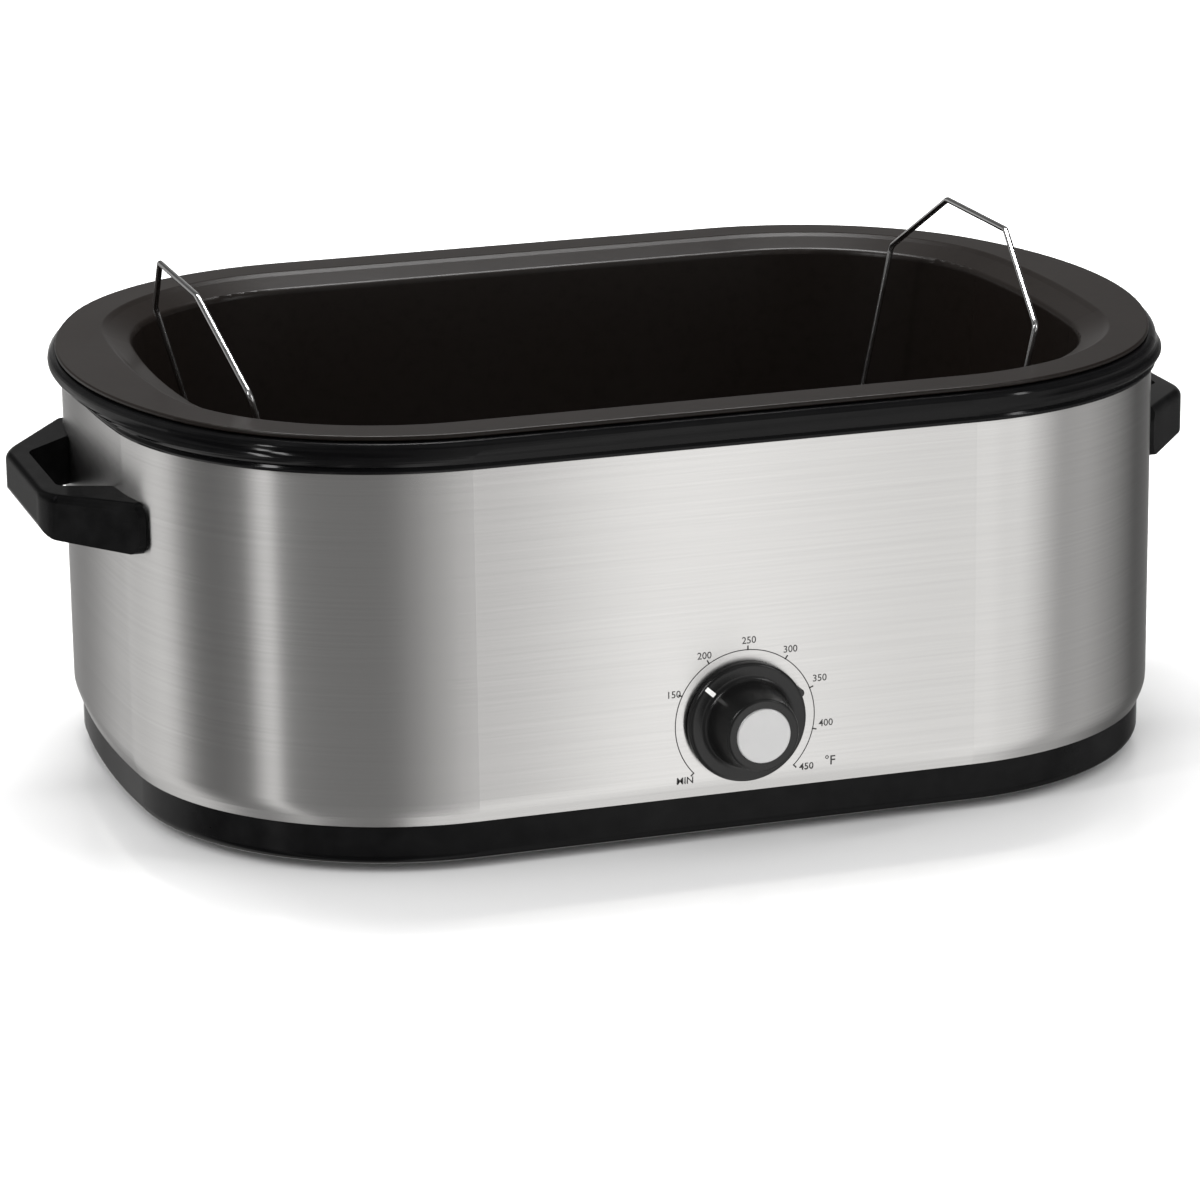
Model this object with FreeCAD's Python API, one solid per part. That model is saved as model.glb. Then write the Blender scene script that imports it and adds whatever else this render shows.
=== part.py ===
import FreeCAD, Part
import math
import os
from FreeCAD import Vector

# Electric roaster oven, open, with its lift-out pan and wire rack in place.
# Millimetres. +X to the right along the long side, +Y from the front to the back, +Z up.
# Every piece is modelled about the middle of the body. Two closed lines drive the shape. The
# body line is the outer face of the stainless wrap, and the rim line is the outer edge of the
# pan's flange, which has rounder ends. An "inset" is a distance inwards from one of them, the
# body line where nothing else is said, and a "height" is above the table.
# The model is moved once, on export, so that its origin is under the middle of its outline.

# ---------------------------------------------------------------- overall sizes
body_length = 524.2
body_depth = 374.4
body_corner_radius = 136.5
body_end_radius = 610.0  # of the wide arc across each end
rim_end_overhang = 7.9   # beyond the body at the middle of each end
rim_side_overhang = 0.5
rim_length = body_length + 2 * rim_end_overhang
rim_depth = body_depth + 2 * rim_side_overhang
rim_corner_radius = body_corner_radius + 3.5
rim_end_radius = 245.0
foot_height = 4.0
base_height = 19.5
shell_height = 169.6
rim_height = 17.4

base_z = foot_height
shell_z = base_z + base_height
collar_z = shell_z + shell_height
top_z = collar_z + rim_height
shell_front = body_depth / 2

# ---------------------------------------------------------------- clearances
seat_gap = 0.05          # between curved faces that are screwed or pressed together
soft_gap = 0.3           # between a soft or loose piece and its neighbour
running_gap = 0.05       # on the radius of anything that turns
screw_gap = 0.05         # round a screw's thread in the hole that it cuts
hole_gap = 0.2           # round a screw, post or tube that only passes through

# ---------------------------------------------------------------- sheet metal pieces
shell_thickness = 0.6
shell_tuck = 4.5         # how far the shell runs up inside the collar
shell_foot_curl = 3.2    # how far its lower edge curls inwards
shell_foot_height = 8.0
shell_foot_bend = 16.0

seam_width = 12.0
seam_thickness = 0.6
seam_margin = 5.0
rivet_radius = 2.2
rivet_height = 0.8
rivet_count = 5

tray_inset = shell_foot_curl + shell_thickness + hole_gap
tray_thickness = 1.2
tray_edge_radius = 4.0
tray_tuck = 9.0
tray_floor = base_z + tray_thickness

well_side_room = 10.0    # between the well and the wall of the pan at its mouth
well_thickness = 0.8
well_bevel = 9.5
well_bend = 3.0
well_floor_radius = 9.0
well_lip_inset = 5.4

# ---------------------------------------------------------------- lift-out pan
pan_thickness = 1.0
pan_band = 20.8          # inset of the step where the flange's flat outer band ends
pan_step_width = 3.0
pan_step_drop = 1.6
pan_lip_width = 11.6     # sloping inner band
pan_lip_drop = 5.0
pan_draft = 4.0
pan_floor_radius = 20.0
pan_hem_width = 2.4
pan_hem_height = 2.4
pan_hem_lap = 6.0        # how far in the flange's edge strip reaches from the rim line
pan_air_gap = 5.0        # under the pan, above the well's floor

# ---------------------------------------------------------------- floors, from the base upwards
wiring_room = 10.4       # between the tray's floor and the reflector
reflector_inset = 30.5
reflector_thickness = 0.8
floor_pad_thickness = 10.2
reflector_z = tray_floor + wiring_room
floor_pad_z = reflector_z + reflector_thickness + soft_gap
well_bottom = floor_pad_z + floor_pad_thickness + soft_gap
well_floor = well_bottom + well_thickness
well_top = top_z - pan_thickness
pan_floor = well_floor + pan_air_gap + pan_thickness
pan_mouth = pan_band + pan_step_width + pan_lip_width
pan_mouth_z = top_z - pan_step_drop - pan_lip_drop
pan_foot = pan_mouth + (pan_mouth_z - pan_floor) * math.tan(math.radians(pan_draft))
well_inset = pan_mouth - well_side_room
well_outer = well_inset - well_thickness
floor_patch = 80.0       # inset at which a ring's floor meets the flat plate in the middle

# ---------------------------------------------------------------- collar
collar_proud = 3.8       # at its widest, beyond the rim line
collar_wall = 1.5        # of the skirt, at its lower edge
collar_bead = 2.3        # how far the bead round that edge stands out
collar_bead_height = 2.8
collar_steps = 7
collar_shelf_inset = 4.6
collar_shelf_end = 7.0
collar_shelf_thickness = 2.4
collar_wall_inner = 3.2
collar_skirt_gap = 0.2
collar_edge_gap = 0.6    # under the hem of the flange
collar_top_z = top_z - pan_hem_height - collar_edge_gap

# ---------------------------------------------------------------- heating and insulation
heater_thickness = 2.0
heater_height = 50.0
heater_rise = 10.0       # above the well's floor
heater_low = well_floor + heater_rise
heater_gap_left = 56.0   # the band stops this far left and right of the dial's axis
heater_gap_right = 54.0
blanket_rise = 8.0
blanket_low = well_floor + blanket_rise
blanket_high = collar_z + 1
blanket_thickness = 12.0
window_side = 12.0       # from the heater's ends to the edge of the blanket's window
window_rise = 49.0       # above the dial's axis

# ---------------------------------------------------------------- posts, feet and screws
post_room = 112.0        # from a post's axis to the body's ends and sides
post_x = body_length / 2 - post_room
post_y = body_depth / 2 - post_room
post_radius = 5.0
post_shoulder_radius = 8.0
post_shoulder_height = 1.2
screw_radius = 2.0
screw_head_radius = 4.0
screw_head_height = 2.0
screw_head_gap = 0.1     # under a flat head that sits on the rounded wall
post_screw_length = 14.0
foot_end_room = 72.0
foot_side_room = 92.0
foot_x = body_length / 2 - foot_end_room
foot_y = body_depth / 2 - foot_side_room
foot_radius = 11.0
foot_taper = 1.5
foot_pocket_depth = 2.4
foot_screw_length = 5.0

# ---------------------------------------------------------------- end handles
handle_reach = 24.0      # from the rim line to the outer face of the grip
handle_grip_half = 44.5
handle_grip_thickness = 10.5
handle_gap_half = 34.0
handle_gap_radius = 8.0
handle_gap_flare = 35.0  # degrees, of the gap's sides
handle_drop = 32.0       # from the collar's lower edge to the top of the grip
handle_height = 21.0
handle_top_z = collar_z - handle_drop
handle_low_z = handle_top_z - handle_height
handle_root_top = 2.6    # how much higher and lower the root is than the grip
handle_root_low = 0.5
handle_round = 4.0
handle_bend_radius = 30.0
handle_edge_radius = 6.0  # of the grip's lower outer edge
handle_root_radius = 8.0 # of the legs' corners against the end wall
handle_root_trim = 1.0
handle_flare = 51.0      # degrees between the legs and the end wall's normal
handle_screw_y = 64.0
handle_screw_rise = 10.0
handle_screw_z = handle_low_z + handle_screw_rise
handle_screw_bite = 11.0

# ---------------------------------------------------------------- thermostat and dial
dial_x = 7.0
dial_rise = 36.2         # from the shell's lower edge to the dial's axis
dial_z = shell_z + dial_rise
shaft_radius = 3.0
shaft_flat = 1.0         # depth of the flat on the shaft's end
shaft_flat_length = 12.0
bushing_radius = 4.75
bushing_length = 5.0
nut_across_flats = 13.0
nut_thickness = 2.5
bracket_width = 46.0
bracket_height = 40.0
bracket_thickness = 1.2
thermostat_width = 34.0
thermostat_height = 28.0
thermostat_depth = 15.0
sensor_pad_width = 20.0
sensor_pad_height = 14.0
sensor_pad_thickness = 1.2
sensor_stem_radius = 3.0
tab_width = 6.3
tab_length = 8.0
tab_thickness = 0.8

knob_gap = 1.0           # between the skirt and the shell
knob_radius = 29.0
knob_skirt_thickness = 4.5
knob_root_radius = 21.0
knob_front_radius = 17.5
knob_length = 25.2
knob_pocket_radius = 9.5
knob_pocket_depth = 7.5
knob_socket_depth = 19.0
knob_cap_radius = 13.2
knob_cap_thickness = 2.0
knob_cap_recess = 1.2
pointer_angle = 137.8    # degrees, anticlockwise from three o'clock, seen from the front
pointer_length = 5.4
pointer_width = 2.2
pointer_depth = 0.6
pointer_proud = 0.2
pointer_outer = 28.0
knob_nub_angle = 24.0    # a small lug at the skirt's edge, on the same reckoning
knob_nub_radius = 2.0
knob_nub_reach = 1.4     # beyond the skirt

# ---------------------------------------------------------------- fuse, terminals, gland, wires
fuse_x = -32.0
fuse_rise = 15.0         # above the dial's axis
fuse_z = dial_z + fuse_rise
fuse_radius = 3.0
fuse_length = 14.0
fuse_clip_width = 8.0
fuse_clip_thickness = 0.8
gland_x = 100.0
gland_bore = 3.5
gland_neck = 5.2
gland_flange = 6.8
gland_flange_thickness = 2.0
gland_tail = 9.0
gland_z = base_z + tray_edge_radius + tray_thickness + gland_flange + soft_gap
block_x = 62.0
block_back = 32.0        # from the block's middle to the back of the shell
block_y = body_depth / 2 - block_back
block_width = 30.0
block_depth = 16.0
block_height = 9.0
lead_radius = 1.3
lead_bend = 7.0
lead_rise = 4.3          # above the tray's floor
lead_bite = 4.0          # how far a lead runs into the terminal block
lead_turn_y = 60.0       # the leads cross over between here and as far in front
lead_z = tray_floor + lead_rise

# ---------------------------------------------------------------- rack and its bails
rack_shift = -2.0        # the rack lies this far from the middle of the pan
rack_end_room = 34.0     # from the rim wire's middle to the foot of the pan's wall
rack_side_room = 30.0
rack_corner_radius = 50.0
rack_height = 17.0       # from the pan's floor to the middle of the rim wire
rack_rim_radius = 2.0
rack_wire_radius = 1.5
weld_gap = 0.02
long_wire_count = 7
long_wire_margin = 36.0  # from the rim wire to the first long wire
cross_wire_count = 9
cross_wire_margin = 25.0
skid_pitches = 2.5       # each skid's place, in pitches of the cross wires from the middle
skid_bend = 6.0
bail_leans = {-1: 15.4, 1: 12.3}     # degrees outwards from upright, left and right
bail_eye_margin = 14.0   # from the rim wire to the eye
bail_splay = 1.0         # from the eye to the knee
bail_top_y = 38.6
bail_knee_height = 166.0
bail_top_height = 201.5
bail_bend = 5.0
bail_radius = 1.5
rack_length = body_length - 2 * (pan_foot + rack_end_room)
rack_depth = body_depth - 2 * (pan_foot + rack_side_room)
rack_z = pan_floor + rack_height
long_wire_z = rack_z + rack_rim_radius + rack_wire_radius + weld_gap
cross_wire_z = rack_z - rack_rim_radius - rack_wire_radius - weld_gap
long_wire_pitch = (rack_depth - 2 * long_wire_margin) / (long_wire_count - 1)
cross_wire_pitch = (rack_length - 2 * cross_wire_margin) / (cross_wire_count - 1)
bail_pivot_x = rack_length / 2 - cross_wire_margin
bail_eye_y = rack_depth / 2 - bail_eye_margin
bail_knee_y = bail_eye_y + bail_splay

# ---------------------------------------------------------------- where the origin is
front_reach = shell_front + knob_gap + knob_length + knob_cap_thickness - knob_cap_recess
back_reach = rim_depth / 2 + collar_proud
origin_shift = Vector(0, (front_reach - back_reach) / 2, 0)

UP = Vector(0, 0, 1)
RIGHT = Vector(1, 0, 0)
BACK = Vector(0, 1, 0)


# ---------------------------------------------------------------- drawing helpers
def bent_edges(points, radii, closed):
    """Edges through the points, each corner rounded by its own radius."""
    count = len(points)
    starts = []
    ends = []
    arcs = []
    for k, point in enumerate(points):
        radius = radii[k]
        inside = closed or 0 < k < count - 1
        if radius <= 0 or not inside:
            starts.append(point)
            ends.append(point)
            arcs.append(None)
            continue
        to_last = (points[k - 1] - point).normalize()
        to_next = (points[(k + 1) % count] - point).normalize()
        half = to_last.getAngle(to_next) / 2
        middle = (to_last + to_next).normalize()
        begin = point + to_last * (radius / math.tan(half))
        finish = point + to_next * (radius / math.tan(half))
        crown = point + middle * (radius / math.sin(half) - radius)
        starts.append(begin)
        ends.append(finish)
        arcs.append(Part.Arc(begin, crown, finish).toShape())
    edges = []
    for k in range(count):
        if arcs[k]:
            edges.append(arcs[k])
        last = k == count - 1
        if last and not closed:
            break
        following = starts[(k + 1) % count]
        if ends[k].distanceToPoint(following) > 1e-6:
            edges.append(Part.LineSegment(ends[k], following).toShape())
    return edges


def flat_face(points, radii=None):
    """Face inside a closed outline of points, with rounded corners where radii are given."""
    if radii is None:
        radii = [0] * len(points)
    return Part.Face(Part.Wire(bent_edges(points, radii, True)))


def one_solid(shape):
    """The shape as clean solids with their faces pointing outwards."""
    shape = shape.removeSplitter()
    if shape.Volume < 0:
        shape.reverse()
    return shape.Solids[0] if len(shape.Solids) == 1 else shape


def fuse(shapes):
    return one_solid(shapes[0].multiFuse(shapes[1:]))


class Outline:
    """Closed line of two straight sides, two wide end arcs and the four corner arcs between."""

    def __init__(self, length, depth, corner_radius, end_radius):
        self.corner_radius = corner_radius
        self.end_radius = end_radius
        self.end_x = length / 2 - end_radius
        self.corner_y = depth / 2 - corner_radius
        reach = end_radius - corner_radius
        self.corner_x = self.end_x + math.sqrt(reach ** 2 - self.corner_y ** 2)
        self.end_turn = math.degrees(math.asin(self.corner_y / reach))

    def arcs(self):
        """The arcs in order as (centre, radius, first angle, turn), from the right end on."""
        side = 90 - self.end_turn
        arcs = []
        for start, sign in ((0, 1), (180, -1)):
            end = Vector(sign * self.end_x, 0, 0)
            first = Vector(sign * self.corner_x, sign * self.corner_y, 0)
            second = Vector(-sign * self.corner_x, sign * self.corner_y, 0)
            turn = self.end_turn
            arcs.append((end, self.end_radius, start - turn, 2 * turn))
            arcs.append((first, self.corner_radius, start + turn, side))
            arcs.append((second, self.corner_radius, start + 90, side))
        return arcs

    def wire(self, inset, height):
        """The line moved inwards by the inset, as a closed wire at one height."""
        edges = []
        for centre, radius, start, turn in self.arcs():
            raised = centre + UP * height
            begin, middle, finish = [
                raised + facing(start + part * turn) * (radius - inset) for part in (0, 0.5, 1)
            ]
            if edges and last.distanceToPoint(begin) > 1e-4:
                edges.append(Part.LineSegment(last, begin).toShape())
            edges.append(Part.Arc(begin, middle, finish).toShape())
            last = finish
        return Part.Wire(edges)

    def end_wall(self, y):
        """Arc centre and outward direction at the right end, at a distance from the middle."""
        widest = self.end_radius * math.sin(math.radians(self.end_turn))
        centre = Vector(self.end_x, 0, 0)
        radius = self.end_radius
        if abs(y) > widest:
            centre = Vector(self.corner_x, math.copysign(self.corner_y, y), 0)
            radius = self.corner_radius
        return centre, radius, facing(math.degrees(math.asin((y - centre.y) / radius)))

    def wall_x(self, y):
        """How far to the right the line lies, at a distance from the middle."""
        centre, radius, outwards = self.end_wall(y)
        return centre.x + radius * outwards.x


def facing(angle):
    """Level direction at an angle from the right, anticlockwise from above."""
    return Vector(math.cos(math.radians(angle)), math.sin(math.radians(angle)), 0)


def section(profile, centre, radius, angle):
    """A profile of (inset, height, corner radius) standing across an arc at one angle."""
    outwards = facing(angle)
    points = []
    for inset, height, _ in profile:
        points.append(centre + UP * height + outwards * (radius - inset))
    return flat_face(points, [row[2] for row in profile])


def ring(profile, line=None):
    """A profile carried once round a line: its six arcs and the two straight sides."""
    arcs = (line or body_line).arcs()
    pieces = []
    for k, (centre, radius, start, turn) in enumerate(arcs):
        pieces.append(section(profile, centre, radius, start).revolve(centre, UP, turn))
        next_centre, next_radius, _, _ = arcs[(k + 1) % len(arcs)]
        if next_radius == radius:
            side = section(profile, centre, radius, start + turn)
            pieces.append(side.extrude(next_centre - centre))
    return fuse(pieces)


def bent_sheet(path, thickness):
    """Closed profile of a bent sheet. The path is one face of it, as rows of (inset, height,
    inside radius of the bend). With the inset to the right and the height upwards, the other
    face lies to the left of the way along the path."""
    points = [Vector(row[0], row[1], 0) for row in path]
    normals = []
    for a, b in zip(points, points[1:]):
        along = (b - a).normalize()
        normals.append(Vector(-along.y, along.x, 0))
    near = []
    far = []
    for k, point in enumerate(points):
        before = normals[max(k - 1, 0)]
        after = normals[min(k, len(normals) - 1)]
        mitre = (before + after).normalize()
        other = point + mitre * (thickness / mitre.dot(after))
        turn = before.cross(after).z
        inside = path[k][2]
        near_radius = 0
        far_radius = 0
        if inside > 0 and turn > 0:
            near_radius = inside + thickness
            far_radius = inside
        elif inside > 0:
            near_radius = inside
            far_radius = inside + thickness
        near.append((point.x, point.y, near_radius))
        far.append((other.x, other.y, far_radius))
    return near + far[::-1]


def rounded_plate(length, depth, radius, low, high):
    """Upright prism on a rounded rectangle about the middle of the body."""
    x = length / 2
    y = depth / 2
    points = [Vector(x, y, low), Vector(-x, y, low), Vector(-x, -y, low), Vector(x, -y, low)]
    return flat_face(points, [radius] * 4).extrude(UP * (high - low))


def slab(inset, low, high, line=None):
    """Upright prism inside a line that is moved inwards by the inset."""
    return Part.Face((line or body_line).wire(inset, low)).extrude(UP * (high - low))


def box(x, y, z):
    """Box from three (low, high) pairs."""
    corner = Vector(x[0], y[0], z[0])
    return Part.makeBox(x[1] - x[0], y[1] - y[0], z[1] - z[0], corner)


def rod(points, bend, radius):
    """Round bar along straight runs joined by bends."""
    path = Part.Wire(bent_edges(points, [bend] * len(points), False))
    start = Part.Circle(points[0], points[1] - points[0], radius)
    profile = Part.Wire([start.toShape()])
    return one_solid(path.makePipeShell([profile], True, False))


def turned(profile, base, axis):
    """Solid turned about an axis. The profile has rows of (radius, distance, corner radius)."""
    side = UP if abs(axis.z) < 0.5 else RIGHT
    points = [base + side * row[0] + axis * row[1] for row in profile]
    return one_solid(flat_face(points, [row[2] for row in profile]).revolve(base, axis, 360))


def on_dial(distance):
    """Point on the dial's axis, so far in front of the shell."""
    return Vector(dial_x, -shell_front - distance, dial_z)


def handle_screw_frame(side_y):
    """Point on the right end wall's outer face, and its outward direction, at one screw."""
    centre, radius, outwards = body_line.end_wall(side_y * handle_screw_y)
    return centre + outwards * radius + UP * handle_screw_z, outwards


def mirrored(shape):
    """The same piece at the other end of the roaster."""
    return shape.mirror(Vector(0, 0, 0), RIGHT)


body_line = Outline(body_length, body_depth, body_corner_radius, body_end_radius)
rim_line = Outline(rim_length, rim_depth, rim_corner_radius, rim_end_radius)


# ---------------------------------------------------------------- casing
def make_outer_shell():
    path = [
        (0, collar_z + shell_tuck, 0),
        (0, shell_z + shell_foot_height, shell_foot_bend),
        (shell_foot_curl, shell_z, 0),
    ]
    shell = ring(bent_sheet(path, shell_thickness))
    reach = 4 * shell_thickness
    hole = Part.makeCylinder(bushing_radius + hole_gap, 2 * reach, on_dial(reach), BACK)
    shell = shell.cut(hole)
    for side_y in (-1, 1):
        place, outwards = handle_screw_frame(side_y)
        start = place - outwards * reach
        hole = Part.makeCylinder(screw_radius + hole_gap, 2 * reach, start, outwards)
        shell = shell.cut(hole).cut(mirrored(hole))
    return one_solid(shell)


def make_shell_seam():
    back = shell_front
    low = shell_z + shell_foot_height + seam_margin
    high = collar_z - seam_margin
    half = seam_width / 2
    return box((-half, half), (back, back + seam_thickness), (low, high))


def make_seam_rivets():
    low = shell_z + shell_foot_height + 3 * seam_margin
    high = collar_z - 3 * seam_margin
    rivets = []
    for k in range(rivet_count):
        height = low + (high - low) * k / (rivet_count - 1)
        base = Vector(0, shell_front + seam_thickness, height)
        profile = [
            (0, 0, 0),
            (rivet_radius, 0, 0),
            (rivet_radius, rivet_height, rivet_height * 0.8),
            (0, rivet_height, 0),
        ]
        rivets.append(turned(profile, base, BACK))
    return Part.makeCompound(rivets)


def make_rim_collar():
    """Collar whose outer face swells from the body line below to the rim line above."""
    crown = collar_proud
    bulge_z = collar_top_z - crown
    start_z = collar_z + collar_bead_height
    wires = []
    for k in range(collar_steps + 1):
        turn = math.radians(90 * k / collar_steps)
        proud = collar_wall + (collar_proud - collar_wall) * math.sin(turn)
        height = start_z + (bulge_z - start_z) * k / collar_steps
        wires.append(swelled(math.sin(turn), proud, height))
    for k in range(1, collar_steps):
        turn = math.radians(90 * k / (collar_steps - 1))
        proud = collar_proud - crown * (1 - math.cos(turn))
        wires.append(swelled(1, proud, bulge_z + crown * math.sin(turn)))
    skin = Part.makeLoft(wires, True, True)
    bead = [
        (collar_shelf_end, collar_z, 0),
        (-collar_wall, collar_z, 0.3),
        (-collar_bead, collar_z + collar_bead_height / 2, 0.8),
        (-collar_wall, start_z, 0),
        (collar_shelf_end, start_z, 0),
    ]
    collar = fuse([skin, ring(bead)])
    shelf_z = well_top - well_thickness
    ledge_z = collar_z + shell_tuck + collar_skirt_gap
    collar = collar.cut(slab(-collar_skirt_gap, collar_z - 1, ledge_z))
    collar = collar.cut(slab(collar_wall_inner, ledge_z - 1, shelf_z - collar_shelf_thickness))
    collar = collar.cut(slab(collar_shelf_end, ledge_z, top_z))
    return one_solid(collar.cut(slab(collar_shelf_inset, shelf_z, top_z)))


def swelled(share, proud, height):
    """Closed wire part of the way from the body line to the rim line."""
    values = []
    for body_value, rim_value in (
        (body_length, rim_length),
        (body_depth, rim_depth),
        (body_corner_radius, rim_corner_radius),
        (body_end_radius, rim_end_radius),
    ):
        values.append(body_value + share * (rim_value - body_value))
    return Outline(*values).wire(-proud, height)


def make_base_tray():
    path = [
        (tray_inset, shell_z + tray_tuck, 0),
        (tray_inset, base_z, tray_edge_radius),
        (floor_patch, base_z, 0),
    ]
    tray = ring(bent_sheet(path, tray_thickness))
    tray = fuse([tray, slab(floor_patch, base_z, tray_floor)])
    reach = 2 * tray_thickness
    for x, y, radius in screw_places():
        tray = tray.cut(Part.makeCylinder(radius, 2 * reach, Vector(x, y, base_z - reach), UP))
    skirt = Vector(gland_x, body_depth / 2 - tray_inset - 2 * reach, gland_z)
    tray = tray.cut(Part.makeCylinder(gland_neck + seat_gap, 3 * reach, skirt, BACK))
    return one_solid(tray)


def screw_places():
    """Places and radii of the holes in the tray's floor."""
    places = []
    for side_x in (-1, 1):
        for side_y in (-1, 1):
            places.append((side_x * post_x, side_y * post_y, screw_radius + hole_gap))
            places.append((side_x * foot_x, side_y * foot_y, screw_radius + screw_gap))
    return places


# ---------------------------------------------------------------- well, heater, insulation
def make_oven_well():
    path = [
        (floor_patch, well_floor, 0),
        (well_inset, well_floor, well_floor_radius),
        (well_inset, well_top - well_bevel, well_bend),
        (well_inset - well_bevel, well_top, well_bend),
        (well_lip_inset, well_top, 0),
    ]
    well = ring(bent_sheet(path, well_thickness))
    return fuse([well, slab(floor_patch, well_bottom, well_floor)])


def front_window(left, right, high):
    """Space at the front, either side of the dial's axis, that the heater leaves free."""
    return box((dial_x - left, dial_x + right), (-body_depth, 0), (0, high))


def make_heater_band():
    outer = well_outer - seat_gap - heater_thickness
    inner = well_outer - seat_gap
    high = heater_low + heater_height
    band = ring([(outer, heater_low, 0), (inner, heater_low, 0), (inner, high, 0), (outer, high, 0)])
    band = band.cut(front_window(heater_gap_left, heater_gap_right, 2 * top_z))
    return one_solid(band)


def heater_end_y():
    """Front face of the heater band beside the dial."""
    return -(body_depth / 2 - (well_outer - seat_gap - heater_thickness))


def make_heater_tabs():
    tabs = []
    z = heater_low + heater_height / 2
    front = heater_end_y()
    for x in (dial_x - heater_gap_left - tab_width, dial_x + heater_gap_right + tab_width):
        half = tab_width / 2
        plate = box((x - half, x + half), (front - tab_thickness, front), (z - tab_length, z))
        blade = box(
            (x - half, x + half),
            (front - tab_length, front),
            (z - tab_length, z - tab_length + tab_thickness),
        )
        tabs.append(fuse([plate, blade]))
    return Part.makeCompound(tabs)


def make_wall_blanket():
    inner = well_outer - seat_gap - heater_thickness - soft_gap
    outer = inner - blanket_thickness
    low = blanket_low
    high = blanket_high
    blanket = ring([(outer, low, 0), (inner, low, 0), (inner, high, 0), (outer, high, 0)])
    left = heater_gap_left + window_side
    right = heater_gap_right + window_side
    return one_solid(blanket.cut(front_window(left, right, dial_z + window_rise)))


def make_reflector():
    plate = slab(reflector_inset, reflector_z, reflector_z + reflector_thickness)
    return cut_post_holes(plate, post_radius + hole_gap)


def make_floor_pad():
    pad = slab(reflector_inset + soft_gap, floor_pad_z, floor_pad_z + floor_pad_thickness)
    return cut_post_holes(pad, post_radius + soft_gap)


def cut_post_holes(plate, radius):
    for side_x in (-1, 1):
        for side_y in (-1, 1):
            base = Vector(side_x * post_x, side_y * post_y, 0)
            plate = plate.cut(Part.makeCylinder(radius, top_z, base, UP))
    return one_solid(plate)


def make_post(side_x, side_y):
    """Spacer that joins the tray to the well and carries the reflector on its shoulder."""
    length = well_bottom - tray_floor
    shoulder = wiring_room
    bore = screw_radius + screw_gap
    profile = [
        (bore, 0, 0),
        (post_radius, 0, 0.5),
        (post_radius, shoulder - post_shoulder_height, 0),
        (post_shoulder_radius, shoulder - post_shoulder_height, 0.3),
        (post_shoulder_radius, shoulder, 0),
        (post_radius, shoulder, 0),
        (post_radius, length, 0),
        (bore, length, 0),
    ]
    return turned(profile, Vector(side_x * post_x, side_y * post_y, tray_floor), UP)


def make_screw(base, direction, length):
    """Pan-head screw: the head's seat is at the base and the thread runs along the direction."""
    profile = [
        (0, -screw_head_height, 0),
        (screw_head_radius, -screw_head_height, 0.9),
        (screw_head_radius, 0, 0),
        (screw_radius, 0, 0),
        (screw_radius, length, 0.5),
        (0, length, 0),
    ]
    return turned(profile, base, direction)


def make_base_screws():
    screws = []
    for side_x in (-1, 1):
        for side_y in (-1, 1):
            base = Vector(side_x * post_x, side_y * post_y, base_z)
            screws.append(make_screw(base, UP, post_screw_length))
    return Part.makeCompound(screws)


def make_foot(side_x, side_y):
    lower = foot_radius - foot_taper
    pocket = screw_head_radius + soft_gap
    bore = screw_radius + screw_gap
    profile = [
        (pocket, 0, 0),
        (lower, 0, 1),
        (foot_radius, base_z, 0),
        (bore, base_z, 0),
        (bore, foot_pocket_depth, 0),
        (pocket, foot_pocket_depth, 0),
    ]
    return turned(profile, Vector(side_x * foot_x, side_y * foot_y, 0), UP)


def make_foot_screws():
    screws = []
    for side_x in (-1, 1):
        for side_y in (-1, 1):
            base = Vector(side_x * foot_x, side_y * foot_y, foot_pocket_depth)
            screws.append(make_screw(base, UP, foot_screw_length))
    return Part.makeCompound(screws)


# ---------------------------------------------------------------- handles
def make_handle():
    """Right-hand handle: a grip on two flared legs that sit against the rounded end wall."""
    grip_x = rim_length / 2 + handle_reach
    wall_x = body_length / 2
    root_x = body_line.corner_x + body_corner_radius / 2
    spread = (grip_x - root_x) * math.tan(math.radians(handle_flare))
    root_y = handle_grip_half + spread
    plan = [
        Vector(grip_x, handle_grip_half, 0),
        Vector(root_x, root_y, 0),
        Vector(root_x, -root_y, 0),
        Vector(grip_x, -handle_grip_half, 0),
    ]
    bend = handle_bend_radius
    outline = flat_face(plan, [bend, 0, 0, bend]).extrude(UP * top_z)
    stretch = (grip_x - root_x) / (grip_x - wall_x)
    side = [
        Vector(grip_x, -body_depth, handle_top_z),
        Vector(grip_x, -body_depth, handle_low_z),
        Vector(root_x, -body_depth, handle_low_z - handle_root_low * stretch),
        Vector(root_x, -body_depth, handle_top_z + handle_root_top * stretch),
    ]
    profile = flat_face(side, [0, handle_edge_radius, 0, 0]).extrude(BACK * (2 * body_depth))
    block = one_solid(outline.common(profile))
    edges = [edge for edge in block.Edges if is_handle_ridge(edge, root_x)]
    block = block.makeFillet(handle_round, edges)
    block = block.common(handle_end_window(root_x, grip_x))
    block = block.cut(make_finger_gap(root_x, grip_x)).cut(slab(-seat_gap, 0, top_z))
    for side_y in (-1, 1):
        place, outwards = handle_screw_frame(side_y)
        bore = Part.makeCylinder(screw_radius + screw_gap, handle_screw_bite + 1, place, outwards)
        block = block.cut(bore)
    return one_solid(block)


def make_finger_gap(root_x, grip_x):
    """The hole between the grip and the end wall. Its sides follow the legs."""
    inner_x = grip_x - handle_grip_thickness
    root_y = handle_gap_half + (inner_x - root_x) * math.tan(math.radians(handle_gap_flare))
    plan = [
        Vector(inner_x, handle_gap_half, 0),
        Vector(root_x, root_y, 0),
        Vector(root_x, -root_y, 0),
        Vector(inner_x, -handle_gap_half, 0),
    ]
    radius = handle_gap_radius
    return flat_face(plan, [radius, 0, 0, radius]).extrude(UP * top_z)


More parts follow.
